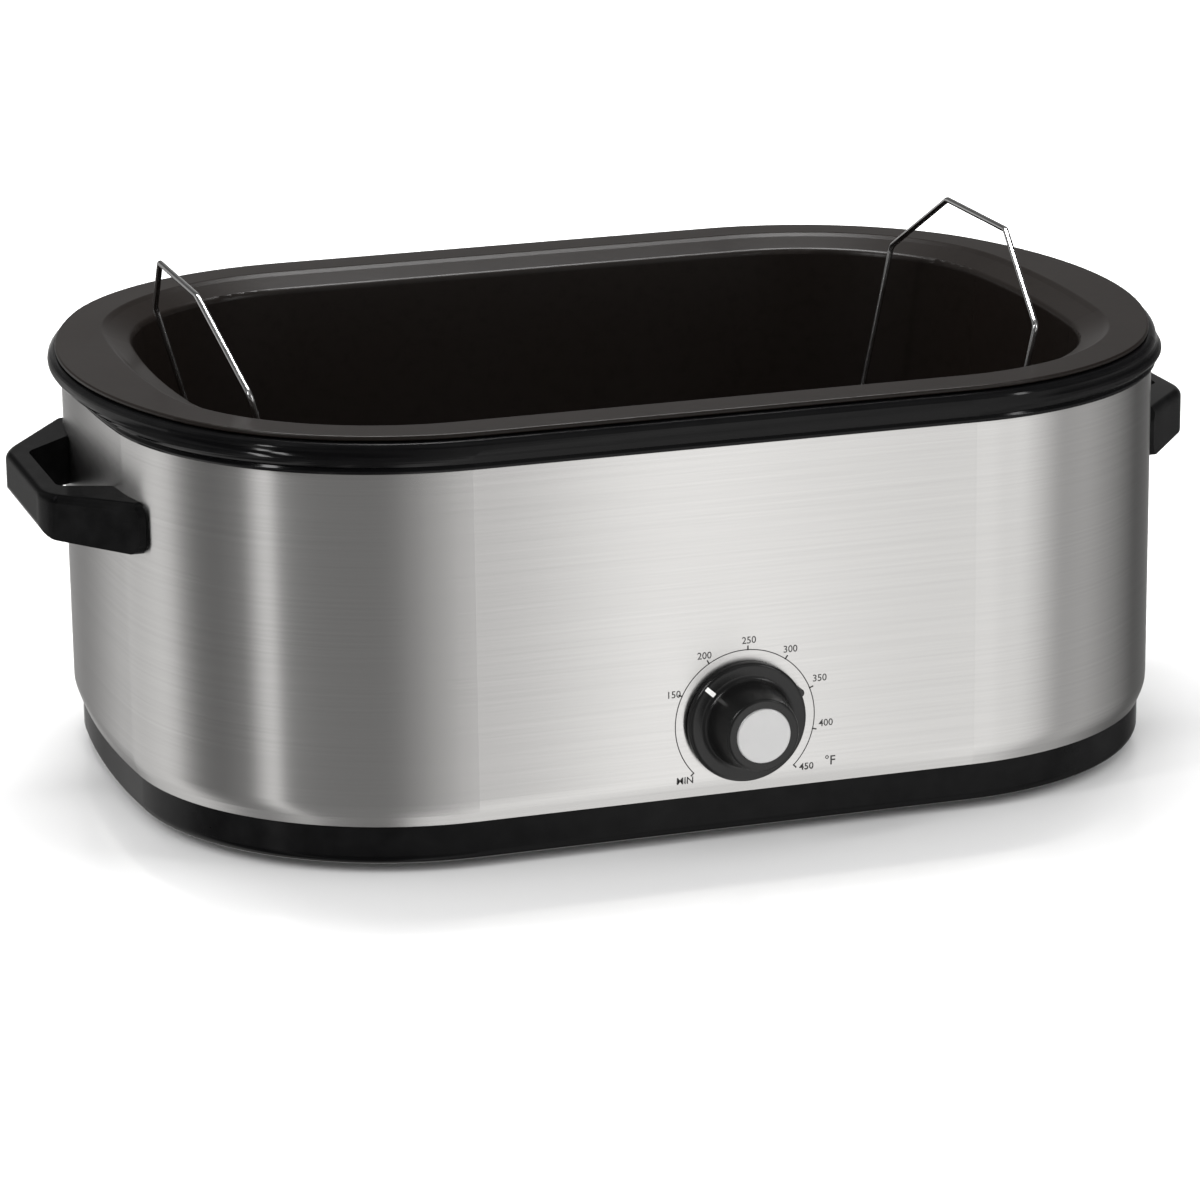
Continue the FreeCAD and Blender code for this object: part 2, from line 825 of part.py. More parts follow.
def handle_end_window(root_x, grip_x):
    """Rounded block that trims the corners of the legs where they meet the end wall."""
    wall_y = handle_grip_half + handle_reach + rim_end_overhang
    wall_x = body_line.wall_x(wall_y)
    half = handle_grip_half + (grip_x - wall_x) * math.tan(math.radians(handle_flare))
    low = handle_low_z - handle_root_low - handle_root_trim
    high = handle_top_z + handle_root_top + handle_root_trim
    points = [
        Vector(root_x, -half, low),
        Vector(root_x, half, low),
        Vector(root_x, half, high),
        Vector(root_x, -half, high),
    ]
    return flat_face(points, [handle_root_radius] * 4).extrude(RIGHT * (2 * (grip_x - root_x)))


def is_handle_ridge(edge, root_x):
    """The edges between the handle's top and its outer faces."""
    low = min(vertex.Point.z for vertex in edge.Vertexes)
    away = max(vertex.Point.x for vertex in edge.Vertexes)
    return low > handle_top_z - 1e-3 and away > root_x + 1


def make_handle_screws():
    screws = []
    for side_y in (-1, 1):
        place, outwards = handle_screw_frame(side_y)
        base = place - outwards * (shell_thickness + screw_head_gap)
        length = shell_thickness + screw_head_gap + handle_screw_bite
        screws.append(make_screw(base, outwards, length))
    return Part.makeCompound(screws)


# ---------------------------------------------------------------- thermostat
def make_thermostat_bracket():
    back = -shell_front + shell_thickness
    half = bracket_width / 2
    rise = bracket_height / 2
    plate = box(
        (dial_x - half, dial_x + half),
        (back, back + bracket_thickness),
        (dial_z - rise, dial_z + rise),
    )
    hole = Part.makeCylinder(bushing_radius + hole_gap, 4, on_dial(1), BACK)
    return one_solid(plate.cut(hole))


def thermostat_face():
    """How far the thermostat's front face is behind the shell's outer face."""
    return shell_thickness + bracket_thickness


def make_thermostat_body():
    front = -shell_front + thermostat_face()
    half = thermostat_width / 2
    rise = thermostat_height / 2
    low = Vector(dial_x - half, front, dial_z - rise)
    points = [
        low,
        low + RIGHT * thermostat_width,
        low + RIGHT * thermostat_width + UP * thermostat_height,
        low + UP * thermostat_height,
    ]
    body = flat_face(points, [2] * 4).extrude(BACK * thermostat_depth)
    bore = Part.makeCylinder(shaft_radius + running_gap, 12, on_dial(0), BACK)
    return one_solid(body.cut(bore))


def make_thermostat_bushing():
    back = -thermostat_face()
    bore = shaft_radius + running_gap
    profile = [
        (bore, back, 0),
        (bushing_radius, back, 0),
        (bushing_radius, bushing_length, 0.4),
        (bore, bushing_length, 0),
    ]
    return turned(profile, on_dial(0), -BACK)


def make_bushing_nut():
    flats = nut_across_flats / 2
    corner = flats / math.cos(math.radians(30))
    points = []
    for k in range(6):
        angle = math.radians(60 * k)
        points.append(on_dial(0) + RIGHT * (corner * math.cos(angle)) + UP * (corner * math.sin(angle)))
    nut = flat_face(points).extrude(-BACK * nut_thickness)
    bore = Part.makeCylinder(bushing_radius + screw_gap, 2 * nut_thickness, on_dial(0), -BACK)
    return one_solid(nut.cut(bore))


def make_thermostat_sensor():
    """Spring-loaded pad that feels the wall of the well."""
    wall = -(body_depth / 2 - well_outer)
    back = -shell_front + thermostat_face() + thermostat_depth
    half = sensor_pad_width / 2
    rise = sensor_pad_height / 2
    pad = box(
        (dial_x - half, dial_x + half),
        (wall - sensor_pad_thickness, wall),
        (dial_z - rise, dial_z + rise),
    )
    stem = Part.makeCylinder(
        sensor_stem_radius,
        wall - sensor_pad_thickness / 2 - back,
        Vector(dial_x, back, dial_z),
        BACK,
    )
    return fuse([pad, stem])


def make_thermostat_tabs():
    """Two flat blades under the thermostat that the leads push on to."""
    y = -shell_front + thermostat_face() + thermostat_depth / 2
    z = dial_z - thermostat_height / 2
    tabs = []
    for side in (-1, 1):
        x = dial_x + side * thermostat_width / 4
        tabs.append(
            box(
                (x - tab_width / 2, x + tab_width / 2),
                (y - tab_thickness / 2, y + tab_thickness / 2),
                (z - tab_length, z),
            )
        )
    return Part.makeCompound(tabs)


# ---------------------------------------------------------------- knob
def make_thermostat_shaft():
    length = knob_gap + knob_socket_depth - 0.5
    shaft = Part.makeCylinder(shaft_radius, 10 + length, on_dial(-10), -BACK)
    flat = box(
        (dial_x - 2 * shaft_radius, dial_x + 2 * shaft_radius),
        (-shell_front - length - 1, -shell_front - length + shaft_flat_length),
        (dial_z + shaft_radius - shaft_flat, dial_z + 2 * shaft_radius),
    )
    return one_solid(shaft.cut(flat))


def make_knob():
    depth = knob_gap
    skirt = knob_gap + knob_skirt_thickness
    front = knob_gap + knob_length
    profile = [
        (0, depth + knob_pocket_depth, 0),
        (knob_pocket_radius, depth + knob_pocket_depth, 0),
        (knob_pocket_radius, depth, 0),
        (knob_radius, depth, 0.6),
        (knob_radius, skirt, 1.8),
        (knob_root_radius, skirt, 3),
        (knob_front_radius, front, 1.5),
        (knob_cap_radius + seat_gap, front, 0),
        (knob_cap_radius + seat_gap, front - knob_cap_recess, 0),
        (0, front - knob_cap_recess, 0),
    ]
    knob = turned(profile, on_dial(0), -BACK)
    socket = Part.makeCylinder(
        shaft_radius + seat_gap,
        knob_socket_depth + depth,
        on_dial(0),
        -BACK,
    )
    end = depth + knob_socket_depth
    flat_low = shaft_radius - shaft_flat + seat_gap
    filling = box(
        (dial_x - 2 * shaft_radius, dial_x + 2 * shaft_radius),
        (-shell_front - end, -shell_front - end + shaft_flat_length - 1),
        (dial_z + flat_low, dial_z + 2 * shaft_radius),
    )
    knob = knob.cut(socket.cut(filling))
    nub_base = on_dial(depth) + RIGHT * (knob_radius + knob_nub_reach - knob_nub_radius)
    nub = Part.makeCylinder(knob_nub_radius, knob_skirt_thickness - 0.5, nub_base, -BACK)
    nub.rotate(on_dial(0), -BACK, knob_nub_angle)
    knob = fuse([knob, nub])
    knob = knob.cut(make_knob_pointer())
    return one_solid(knob)


def make_knob_cap():
    back = knob_gap + knob_length - knob_cap_recess
    profile = [
        (0, back, 0),
        (knob_cap_radius, back, 0),
        (knob_cap_radius, back + knob_cap_thickness, 0.7),
        (0, back + knob_cap_thickness, 0),
    ]
    return turned(profile, on_dial(0), -BACK)


def make_knob_pointer():
    """White bar let into the skirt, pointing outwards at the dial's rest setting."""
    inner = pointer_outer - pointer_length
    face = -shell_front - knob_gap - knob_skirt_thickness
    half = pointer_width / 2
    bar = box(
        (dial_x + inner, dial_x + pointer_outer),
        (face - pointer_proud, face + pointer_depth),
        (dial_z - half, dial_z + half),
    )
    bar.rotate(on_dial(0), -BACK, pointer_angle)
    return bar


# ---------------------------------------------------------------- fuse, terminals, gland, leads
def well_wall_y():
    return -(body_depth / 2 - well_outer)


def make_thermal_fuse():
    y = well_wall_y() - fuse_radius - fuse_clip_thickness - seat_gap
    start = Vector(fuse_x - fuse_length / 2, y, fuse_z)
    return Part.makeCylinder(fuse_radius, fuse_length, start, RIGHT)


def make_fuse_clip():
    """Strap that holds the fuse against the well's wall."""
    wall = well_wall_y()
    half = fuse_clip_width / 2
    inner = fuse_radius + seat_gap
    outer = inner + fuse_clip_thickness
    y = wall - fuse_clip_thickness - inner
    start = Vector(fuse_x - half, y, fuse_z)
    sleeve = Part.makeCylinder(outer, fuse_clip_width, start, RIGHT)
    foot = box(
        (fuse_x - half, fuse_x + half),
        (wall - fuse_clip_thickness, wall),
        (fuse_z - 2.4 * outer, fuse_z),
    )
    clip = sleeve.fuse(foot).cut(Part.makeCylinder(inner, fuse_clip_width, start, RIGHT))
    return one_solid(clip)


def make_cord_gland():
    """Bushing for the supply cord, in the tray's back skirt."""
    skirt = body_depth / 2 - tray_inset
    profile = [
        (gland_bore, -tray_thickness - gland_tail, 0),
        (gland_neck, -tray_thickness - gland_tail, 0.6),
        (gland_neck, -tray_thickness - gland_flange_thickness, 0),
        (gland_flange, -tray_thickness - gland_flange_thickness, 0.4),
        (gland_flange, -tray_thickness, 0),
        (gland_neck, -tray_thickness, 0),
        (gland_neck, 0, 0),
        (gland_flange, 0, 0),
        (gland_flange, gland_flange_thickness, 0.8),
        (gland_bore, gland_flange_thickness, 0),
    ]
    return turned(profile, Vector(gland_x, skirt, gland_z), BACK)


def make_terminal_block():
    half_x = block_width / 2
    half_y = block_depth / 2
    block = box(
        (block_x - half_x, block_x + half_x),
        (block_y - half_y, block_y + half_y),
        (tray_floor, tray_floor + block_height),
    )
    for side in (-1, 1):
        start = Vector(block_x + side * half_x / 2, block_y - half_y, lead_z)
        reach = block_depth / 2
        block = block.cut(Part.makeCylinder(lead_radius + seat_gap, reach, start, BACK))
    return one_solid(block)


def make_lead_to_thermostat():
    """Supply lead from the terminal block, under the well, to the thermostat."""
    x = block_x - block_width / 4
    tab_x = dial_x + thermostat_width / 4
    y = -shell_front + thermostat_face() + thermostat_depth / 2
    end_z = dial_z - thermostat_height / 2 - tab_length - seat_gap
    points = [
        Vector(x, block_y - block_depth / 2 + lead_bite, lead_z),
        Vector(x, lead_turn_y, lead_z),
        Vector(tab_x, -lead_turn_y, lead_z),
        Vector(tab_x, y, lead_z),
        Vector(tab_x, y, end_z),
    ]
    return rod(points, lead_bend, lead_radius)


def make_lead_to_heater():
    """Return lead from the right end of the heater to the terminal block."""
    x = block_x + block_width / 4
    tab_x = dial_x + heater_gap_right + tab_width
    y = heater_end_y() - tab_length / 2 - tab_thickness
    end_z = heater_low + heater_height / 2 - tab_length - seat_gap
    points = [
        Vector(x, block_y - block_depth / 2 + lead_bite, lead_z),
        Vector(x, lead_turn_y, lead_z),
        Vector(tab_x, -lead_turn_y, lead_z),
        Vector(tab_x, y, lead_z),
        Vector(tab_x, y, end_z),
    ]
    return rod(points, lead_bend, lead_radius)


def make_lead_to_fuse():
    """Jumper from the thermostat to the thermal fuse."""
    tab_x = dial_x - thermostat_width / 4
    y = -shell_front + thermostat_face() + thermostat_depth / 2
    fuse_y = well_wall_y() - fuse_radius - fuse_clip_thickness - seat_gap
    start_z = dial_z - thermostat_height / 2 - tab_length - seat_gap
    low = start_z - 2 * lead_bend
    side = fuse_x + fuse_length / 2 + 2 * lead_bend
    points = [
        Vector(tab_x, y, start_z),
        Vector(tab_x, y, low),
        Vector(side, fuse_y, low),
        Vector(side, fuse_y, fuse_z),
        Vector(fuse_x + fuse_length / 2 + seat_gap, fuse_y, fuse_z),
    ]
    return rod(points, lead_bend * 0.6, lead_radius)


def make_lead_fuse_to_heater():
    """Jumper from the thermal fuse to the left end of the heater."""
    tab_x = dial_x - heater_gap_left - tab_width
    fuse_y = well_wall_y() - fuse_radius - fuse_clip_thickness - seat_gap
    y = heater_end_y() - tab_length / 2 - tab_thickness
    start = fuse_x - fuse_length / 2 - seat_gap
    end_z = heater_low + heater_height / 2 + seat_gap
    points = [
        Vector(start, fuse_y, fuse_z),
        Vector(start - lead_bend, fuse_y, fuse_z),
        Vector(tab_x, y, fuse_z),
        Vector(tab_x, y, end_z - tab_length + tab_thickness),
    ]
    return rod(points, lead_bend * 0.6, lead_radius)


# ---------------------------------------------------------------- pan
def make_insert_pan():
    """Pan whose well follows the body line, with a hem along the rim line."""
    path = [
        (floor_patch, pan_floor, 0),
        (pan_foot, pan_floor, pan_floor_radius),
        (pan_mouth, pan_mouth_z, 2.5),
        (pan_band + pan_step_width, top_z - pan_step_drop, 1.2),
        (pan_band, top_z, 1.2),
        (-2 * pan_hem_lap, top_z, 0),
    ]
    pan = ring(bent_sheet(path, pan_thickness))
    pan = pan.common(slab(pan_hem_lap / 2, 0, 2 * top_z, rim_line))
    hem = [
        (pan_hem_lap, top_z, 0),
        (0, top_z, 1.1),
        (0, top_z - pan_hem_height, 1.0),
        (pan_hem_width, top_z - pan_hem_height, 0.5),
        (pan_hem_width, top_z - pan_thickness, 0),
        (pan_hem_lap, top_z - pan_thickness, 0),
    ]
    floor = slab(floor_patch, pan_floor - pan_thickness, pan_floor)
    return fuse([pan, ring(hem, rim_line), floor])


# ---------------------------------------------------------------- rack
def rack_outline_y(x):
    """Half depth of the rack's rim wire at a distance along the rack."""
    straight = rack_length / 2 - rack_corner_radius
    if abs(x) <= straight:
        return rack_depth / 2
    run = abs(x) - straight
    rise = math.sqrt(rack_corner_radius ** 2 - run ** 2)
    return rack_depth / 2 - rack_corner_radius + rise


def rack_outline_x(y):
    """Half length of the rack's rim wire at a distance from its middle line."""
    straight = rack_depth / 2 - rack_corner_radius
    if abs(y) <= straight:
        return rack_length / 2
    run = abs(y) - straight
    rise = math.sqrt(rack_corner_radius ** 2 - run ** 2)
    return rack_length / 2 - rack_corner_radius + rise


def make_rack_rim():
    x = rack_length / 2
    y = rack_depth / 2
    start = Vector(0, -y, 0)
    points = [start, Vector(x, -y, 0), Vector(x, y, 0), Vector(-x, y, 0), Vector(-x, -y, 0)]
    lift = Vector(rack_shift, 0, rack_z)
    points = [point + lift for point in points]
    radii = [0] + [rack_corner_radius] * 4
    path = Part.Wire(bent_edges(points, radii, True))
    profile = Part.Wire([Part.Circle(points[0], RIGHT, rack_rim_radius).toShape()])
    return one_solid(path.makePipeShell([profile], True, False))


def make_long_wires():
    wires = []
    for k in range(long_wire_count):
        y = long_wire_pitch * (k - (long_wire_count - 1) / 2)
        reach = rack_outline_x(y)
        start = Vector(rack_shift - reach, y, long_wire_z)
        wires.append(Part.makeCylinder(rack_wire_radius, 2 * reach, start, RIGHT))
    return Part.makeCompound(wires)


def make_cross_wires():
    wires = []
    for k in range(cross_wire_count):
        x = cross_wire_pitch * (k - (cross_wire_count - 1) / 2)
        reach = rack_outline_y(x)
        start = Vector(rack_shift + x, -reach, cross_wire_z)
        wires.append(Part.makeCylinder(rack_wire_radius, 2 * reach, start, BACK))
    return Part.makeCompound(wires)


def make_skids():
    """Two bent wires that the rack stands on."""
    low = pan_floor + rack_wire_radius + weld_gap
    high = rack_z - rack_rim_radius - weld_gap
    reach = rack_depth / 2
    skids = []
    for side in (-1, 1):
        x = rack_shift + side * skid_pitches * cross_wire_pitch
        points = [
            Vector(x, -reach, high),
            Vector(x, -reach, low),
            Vector(x, reach, low),
            Vector(x, reach, high),
        ]
        skids.append(rod(points, skid_bend, rack_wire_radius))
    return Part.makeCompound(skids)


def make_bail(side):
    """Wire bail with an eye at each end, round the rack's last cross wire."""
    lean = math.radians(bail_leans[side])
    outwards = Vector(side * math.sin(lean), 0, math.cos(lean))
    pivot = Vector(rack_shift + side * bail_pivot_x, 0, cross_wire_z)
    eye = rack_wire_radius + running_gap + bail_radius
    scale = 1 / math.cos(lean)

    def place(y, height):
        return pivot + BACK * y + outwards * height

    half = [
        (bail_eye_y, eye),
        (bail_knee_y, bail_knee_height * scale),
        (bail_top_y, bail_top_height * scale),
    ]
    points = [place(y, height) for y, height in half]
    points += [place(-y, height) for y, height in half[::-1]]
    wire = rod(points, bail_bend, bail_radius)
    eyes = []
    for end in (-1, 1):
        centre = pivot + BACK * (end * bail_eye_y)
        eyes.append(Part.makeTorus(eye, bail_radius, centre, BACK))
    return fuse([wire] + eyes)


# ---------------------------------------------------------------- all the pieces
def make_pieces():
    handle = make_handle()
    handle_screws = make_handle_screws()
    pieces = {
        "outer_shell": make_outer_shell(),
        "shell_seam": make_shell_seam(),
        "seam_rivets": make_seam_rivets(),
        "rim_collar": make_rim_collar(),
        "base_tray": make_base_tray(),
        "oven_well": make_oven_well(),
        "heater_band": make_heater_band(),
        "heater_tabs": make_heater_tabs(),
        "wall_blanket": make_wall_blanket(),
        "floor_pad": make_floor_pad(),
        "reflector": make_reflector(),
        "base_screws": make_base_screws(),
        "foot_screws": make_foot_screws(),
        "handle_right": handle,
        "handle_left": mirrored(handle),
        "handle_screws_right": handle_screws,
        "handle_screws_left": mirrored(handle_screws),
        "thermostat_bracket": make_thermostat_bracket(),
        "thermostat_body": make_thermostat_body(),
        "thermostat_bushing": make_thermostat_bushing(),
        "bushing_nut": make_bushing_nut(),
        "thermostat_sensor": make_thermostat_sensor(),
        "thermostat_tabs": make_thermostat_tabs(),
        "thermostat_shaft": make_thermostat_shaft(),
        "knob": make_knob(),
        "knob_cap": make_knob_cap(),
        "knob_pointer": make_knob_pointer(),
        "thermal_fuse": make_thermal_fuse(),
        "fuse_clip": make_fuse_clip(),
        "cord_gland": make_cord_gland(),
        "terminal_block": make_terminal_block(),
        "lead_to_thermostat": make_lead_to_thermostat(),
        "lead_to_heater": make_lead_to_heater(),
        "lead_to_fuse": make_lead_to_fuse(),
        "lead_fuse_to_heater": make_lead_fuse_to_heater(),
        "insert_pan": make_insert_pan(),
        "rack_rim": make_rack_rim(),
        "rack_long_wires": make_long_wires(),
        "rack_cross_wires": make_cross_wires(),
        "rack_skids": make_skids(),
        "bail_left": make_bail(-1),
        "bail_right": make_bail(1),
    }
    places = {
        "front_left": (-1, -1),
        "front_right": (1, -1),
        "back_left": (-1, 1),
        "back_right": (1, 1),
    }
    for place, (side_x, side_y) in places.items():
        pieces["foot_" + place] = make_foot(side_x, side_y)
        pieces["post_" + place] = make_post(side_x, side_y)
    return pieces


def main():
    os.makedirs("parts", exist_ok=True)
    for name, shape in make_pieces().items():
        moved = shape.translated(origin_shift)
        moved.exportStep("parts/" + name + ".step")
        box_size = moved.BoundBox
        print(
            name, "solids", len(moved.Solids), "valid", moved.isValid(),
            "volume %.1f" % moved.Volume,
            "box %.1f %.1f %.1f" % (box_size.XLength, box_size.YLength, box_size.ZLength),
        )
    print("origin shift", origin_shift)


main()
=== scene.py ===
# %% [markdown]
# # Dressing an electric roaster oven
# The roaster is a brushed stainless wrap between a black base and a glossy black collar. A
# dark pan with a broad flange hangs in it, and a chrome wire rack with two swinging bails
# stands in the pan. The frame brings in every piece at its true size and place, in metres,
# with Z up and the dial facing -Y. What is left is the finish of each surface, the printed
# dial, the weld spots of the rack, and a small studio of lights to look at it all in.

# %% Load the frame
import math

import bmesh
import bpy
from mathutils import Matrix, Vector, noise as hills


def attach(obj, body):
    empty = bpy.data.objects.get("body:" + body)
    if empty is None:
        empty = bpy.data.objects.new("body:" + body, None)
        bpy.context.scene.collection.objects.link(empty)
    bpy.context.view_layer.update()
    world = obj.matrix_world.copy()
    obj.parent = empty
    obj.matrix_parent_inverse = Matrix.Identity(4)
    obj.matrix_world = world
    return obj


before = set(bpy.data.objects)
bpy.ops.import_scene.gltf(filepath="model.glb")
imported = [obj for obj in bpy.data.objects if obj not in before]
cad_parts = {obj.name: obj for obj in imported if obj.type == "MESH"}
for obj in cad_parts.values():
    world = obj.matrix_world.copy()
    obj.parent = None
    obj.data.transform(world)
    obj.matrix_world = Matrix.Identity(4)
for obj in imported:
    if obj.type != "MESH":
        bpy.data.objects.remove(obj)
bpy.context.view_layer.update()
MM = 0.001
print("pieces in the frame:", len(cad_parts))

# %% [markdown]
# ## The camera
# A long lens from well above the rim keeps the upright lines of the wrap nearly parallel.
# The camera is placed by its own position and three angles: how far it is turned to the
# right, how far it looks down and how far it is tilted about its own line of sight. An
# object's matrix holds its three axes as columns, and a camera looks along its own -Z.

# %% Place the camera
CAMERA_AT = Vector((-0.73062, -2.25979, 0.77053))
CAMERA_TURN = 0.30988    # this angle and the next two are in radians
CAMERA_DOWN = 0.28675
CAMERA_ROLL = -0.01286
LENS_MM = 148.72
SENSOR_MM = 36
SIGHT_LIMIT = 50
DIAL_AT = Vector((0, -0.17, 0.06))

sight = Vector((
    math.sin(CAMERA_TURN) * math.cos(CAMERA_DOWN),
    math.cos(CAMERA_TURN) * math.cos(CAMERA_DOWN),
    -math.sin(CAMERA_DOWN),
))
level_right = Vector((math.cos(CAMERA_TURN), -math.sin(CAMERA_TURN), 0))
level_up = level_right.cross(sight)
camera_right = level_right * math.cos(CAMERA_ROLL) + level_up * math.sin(CAMERA_ROLL)
camera_up = level_up * math.cos(CAMERA_ROLL) - level_right * math.sin(CAMERA_ROLL)
camera_axes = Matrix((camera_right, camera_up, -sight)).transposed()
camera_data = bpy.data.cameras.new("camera")
camera_data.sensor_width = SENSOR_MM
camera_data.lens = LENS_MM
camera_data.clip_end = SIGHT_LIMIT
camera = bpy.data.objects.new("camera", camera_data)
camera.matrix_world = Matrix.Translation(CAMERA_AT) @ camera_axes.to_4x4()
bpy.context.scene.collection.objects.link(camera)
bpy.context.scene.camera = camera
print("camera %.2f m from the dial" % (CAMERA_AT - DIAL_AT).length)

# %% [markdown]
# ## Helpers for node trees
# The studio and every finish are node trees, and the same few nodes turn up in all of them.
# A small helper for each keeps the cells below short. Where a helper takes a number, it
# also takes another node's output, and wires that in.

# %% Make the node helpers
def wire(tree, source, target):
    tree.links.new(source, target)


def feed(tree, socket, value):
    """A number is set on the socket itself; anything else is wired into it."""
    if isinstance(value, (int, float)):
        socket.default_value = value
    else:
        wire(tree, value, socket)


def math_node(tree, operation, first, second=None):
    node = tree.nodes.new("ShaderNodeMath")
    node.operation = operation
    feed(tree, node.inputs[0], first)
    if second is not None:
        feed(tree, node.inputs[1], second)
    return node.outputs[0]


def map_range(tree, value, low, high, to_low=0.0, to_high=1.0):
    node = tree.nodes.new("ShaderNodeMapRange")
    for label, end in (("From Min", low), ("From Max", high), ("To Min", to_low), ("To Max", to_high)):
        feed(tree, node.inputs[label], end)
    wire(tree, value, node.inputs["Value"])
    return node.outputs[0]


def colour_ramp(tree, value, steps):
    """A ramp read at the given value. Each step is a place from 0 to 1, and a colour."""
    node = tree.nodes.new("ShaderNodeValToRGB")
    stops = node.color_ramp.elements
    while len(stops) > 1:
        stops.remove(stops[-1])
    for number, (place, color) in enumerate(steps):
        stop = stops[0] if number == 0 else stops.new(place)
        stop.position = place
        stop.color = (*color, 1)
    wire(tree, value, node.inputs[0])
    return node.outputs[0]


print("node helpers: wire, feed, math_node, map_range, colour_ramp")

# %% [markdown]
# ## The studio
# Polished and brushed steel has hardly any look of its own: it shows the room. A studio
# gives a round metal wall its shape with tall soft panels and gaps between them, which the
# wall turns into upright bands of light and dark. The panels here are stops on one colour
# ramp that runs round the horizon, so every side of the roaster has something to show. A
# ramp in Blender holds 32 stops at most. Above the horizon the room is dim, which keeps the
# black flange and collar black.

# %% Choose the studio's walls of light
PANELS = (
    # degrees to the right of the front, and how bright the wall is there
    (-180, 0.30), (-170, 0.22), (-163, 0.40), (-156, 0.70), (-145, 0.68), (-124, 0.86),
    (-117, 0.72), (-110, 0.34), (-102, 0.17), (-92, 0.16), (-78, 0.26), (-71, 0.82),
    (-66.5, 0.88), (-62.5, 0.20), (-52, 0.23), (-28, 0.23), (-20, 0.31), (-14, 0.455),
    (-9, 0.74), (-4, 1.06), (1, 1.22), (10, 1.60), (15, 1.58), (26, 1.40), (33, 1.06),
    (52, 0.86), (63, 0.47), (78, 0.54), (97, 0.34), (118, 0.10), (140, 0.16), (162, 0.60),
)
PANEL_TINT = (1.0, 0.992, 0.982)    # the lamps behind the panels are slightly warm
FADE_FROM = -0.02                   # the panels fade between these two heights, which are
FADE_TO = 0.22                      # sines of the angle above the horizon
ROOM_ABOVE = 0.30                   # how bright the room is above them, next to the panels
print("studio panels:", len(PANELS))

# %% Build the walls of light
world = bpy.data.worlds.new("studio")
world.use_nodes = True
bpy.context.scene.world = world
bpy.context.scene.view_settings.view_transform = "Standard"
room = world.node_tree
room.nodes.clear()
sky = room.nodes.new("ShaderNodeTexCoord")
direction = room.nodes.new("ShaderNodeSeparateXYZ")
wire(room, sky.outputs["Generated"], direction.inputs[0])
to_the_front = math_node(room, "MULTIPLY", direction.outputs["Y"], -1.0)
turn = math_node(room, "ARCTAN2", direction.outputs["X"], to_the_front)
round_the_room = map_range(room, turn, -math.pi, math.pi)
panel_steps = [(degrees / 360 + 0.5, [bright * part for part in PANEL_TINT])
               for degrees, bright in PANELS]
panels = colour_ramp(room, round_the_room, panel_steps)
fade = map_range(room, direction.outputs["Z"], FADE_FROM, FADE_TO, 1.0, ROOM_ABOVE)
walls = room.nodes.new("ShaderNodeBackground")
wire(room, panels, walls.inputs["Color"])
wire(room, fade, walls.inputs["Strength"])
print("walls of light: from %.2f to %.2f" % (min(b for _, b in PANELS), max(b for _, b in PANELS)))

# %% [markdown]
# ## A white backdrop
# The panels are only there to be mirrored. A Light Path node tells what kind of ray asks:
# mirror rays get the walls of light, and every other ray, the camera's among them, gets
# plain white. That white also lights the scene evenly from all sides.

# %% Show the panels to mirror rays only
WHITE_STRENGTH = 1.25
white = room.nodes.new("ShaderNodeBackground")
white.inputs["Color"].default_value = (1, 1, 1, 1)
white.inputs["Strength"].default_value = WHITE_STRENGTH
rays = room.nodes.new("ShaderNodeLightPath")
choice = room.nodes.new("ShaderNodeMixShader")
wire(room, rays.outputs["Is Glossy Ray"], choice.inputs[0])
wire(room, white.outputs[0], choice.inputs[1])
wire(room, walls.outputs[0], choice.inputs[2])
room_out = room.nodes.new("ShaderNodeOutputWorld")
wire(room, choice.outputs[0], room_out.inputs["Surface"])
print("studio nodes:", len(room.nodes))

# %% [markdown]
# ## Lamps
# Small area lamps do what the panels can't. Black gloss shows its shape by the bright lines
# that a lamp draws along its edges, so one long lamp overhead and one at each side do that.
# The overhead lamp also drops the soft shadow under the base.

# %% Hang the lamps
def area_lamp(name, place, target, size, watts):
    lamp = bpy.data.lights.new(name, "AREA")
    lamp.shape = "RECTANGLE"
    lamp.size, lamp.size_y = size
    lamp.energy = watts
    holder = bpy.data.objects.new(name, lamp)
    holder.location = place
    holder.rotation_euler = (Vector(target) - Vector(place)).to_track_quat("-Z", "Y").to_euler()
    bpy.context.scene.collection.objects.link(holder)


area_lamp("top_lamp", place=(0.1, 0.6, 2.0), target=(0, 0, 0.1), size=(1.6, 0.35), watts=46)
area_lamp("left_lamp", place=(-1.75, -0.67, 1.5), target=(-0.2, 0, 0.2), size=(0.2, 0.9), watts=10)
area_lamp("right_lamp", place=(1.3, -1.3, 1.1), target=(0.2, 0, 0.2), size=(0.15, 0.8), watts=4)
print("lamps:", len(bpy.data.lights))

# %% [markdown]
# ## The floor
# The floor is one pale sheet, far larger than the roaster. It is hidden from mirror rays,
# so that the steel shows the panels all the way down. Its finish comes with the others.

# %% Lay the floor
FLOOR_HALF = 4.0


def flat_sheet(name, corners):
    """An object with one face through the four corners."""
    mesh = bpy.data.meshes.new(name)
    mesh.from_pydata(corners, [], [(0, 1, 2, 3)])
    sheet = bpy.data.objects.new(name, mesh)
    bpy.context.scene.collection.objects.link(sheet)
    return sheet


floor = flat_sheet("floor", [(-FLOOR_HALF, -FLOOR_HALF, 0), (FLOOR_HALF, -FLOOR_HALF, 0),
                             (FLOOR_HALF, FLOOR_HALF, 0), (-FLOOR_HALF, FLOOR_HALF, 0)])
floor.visible_glossy = False
print("floor: %.0f m across" % (2 * FLOOR_HALF))

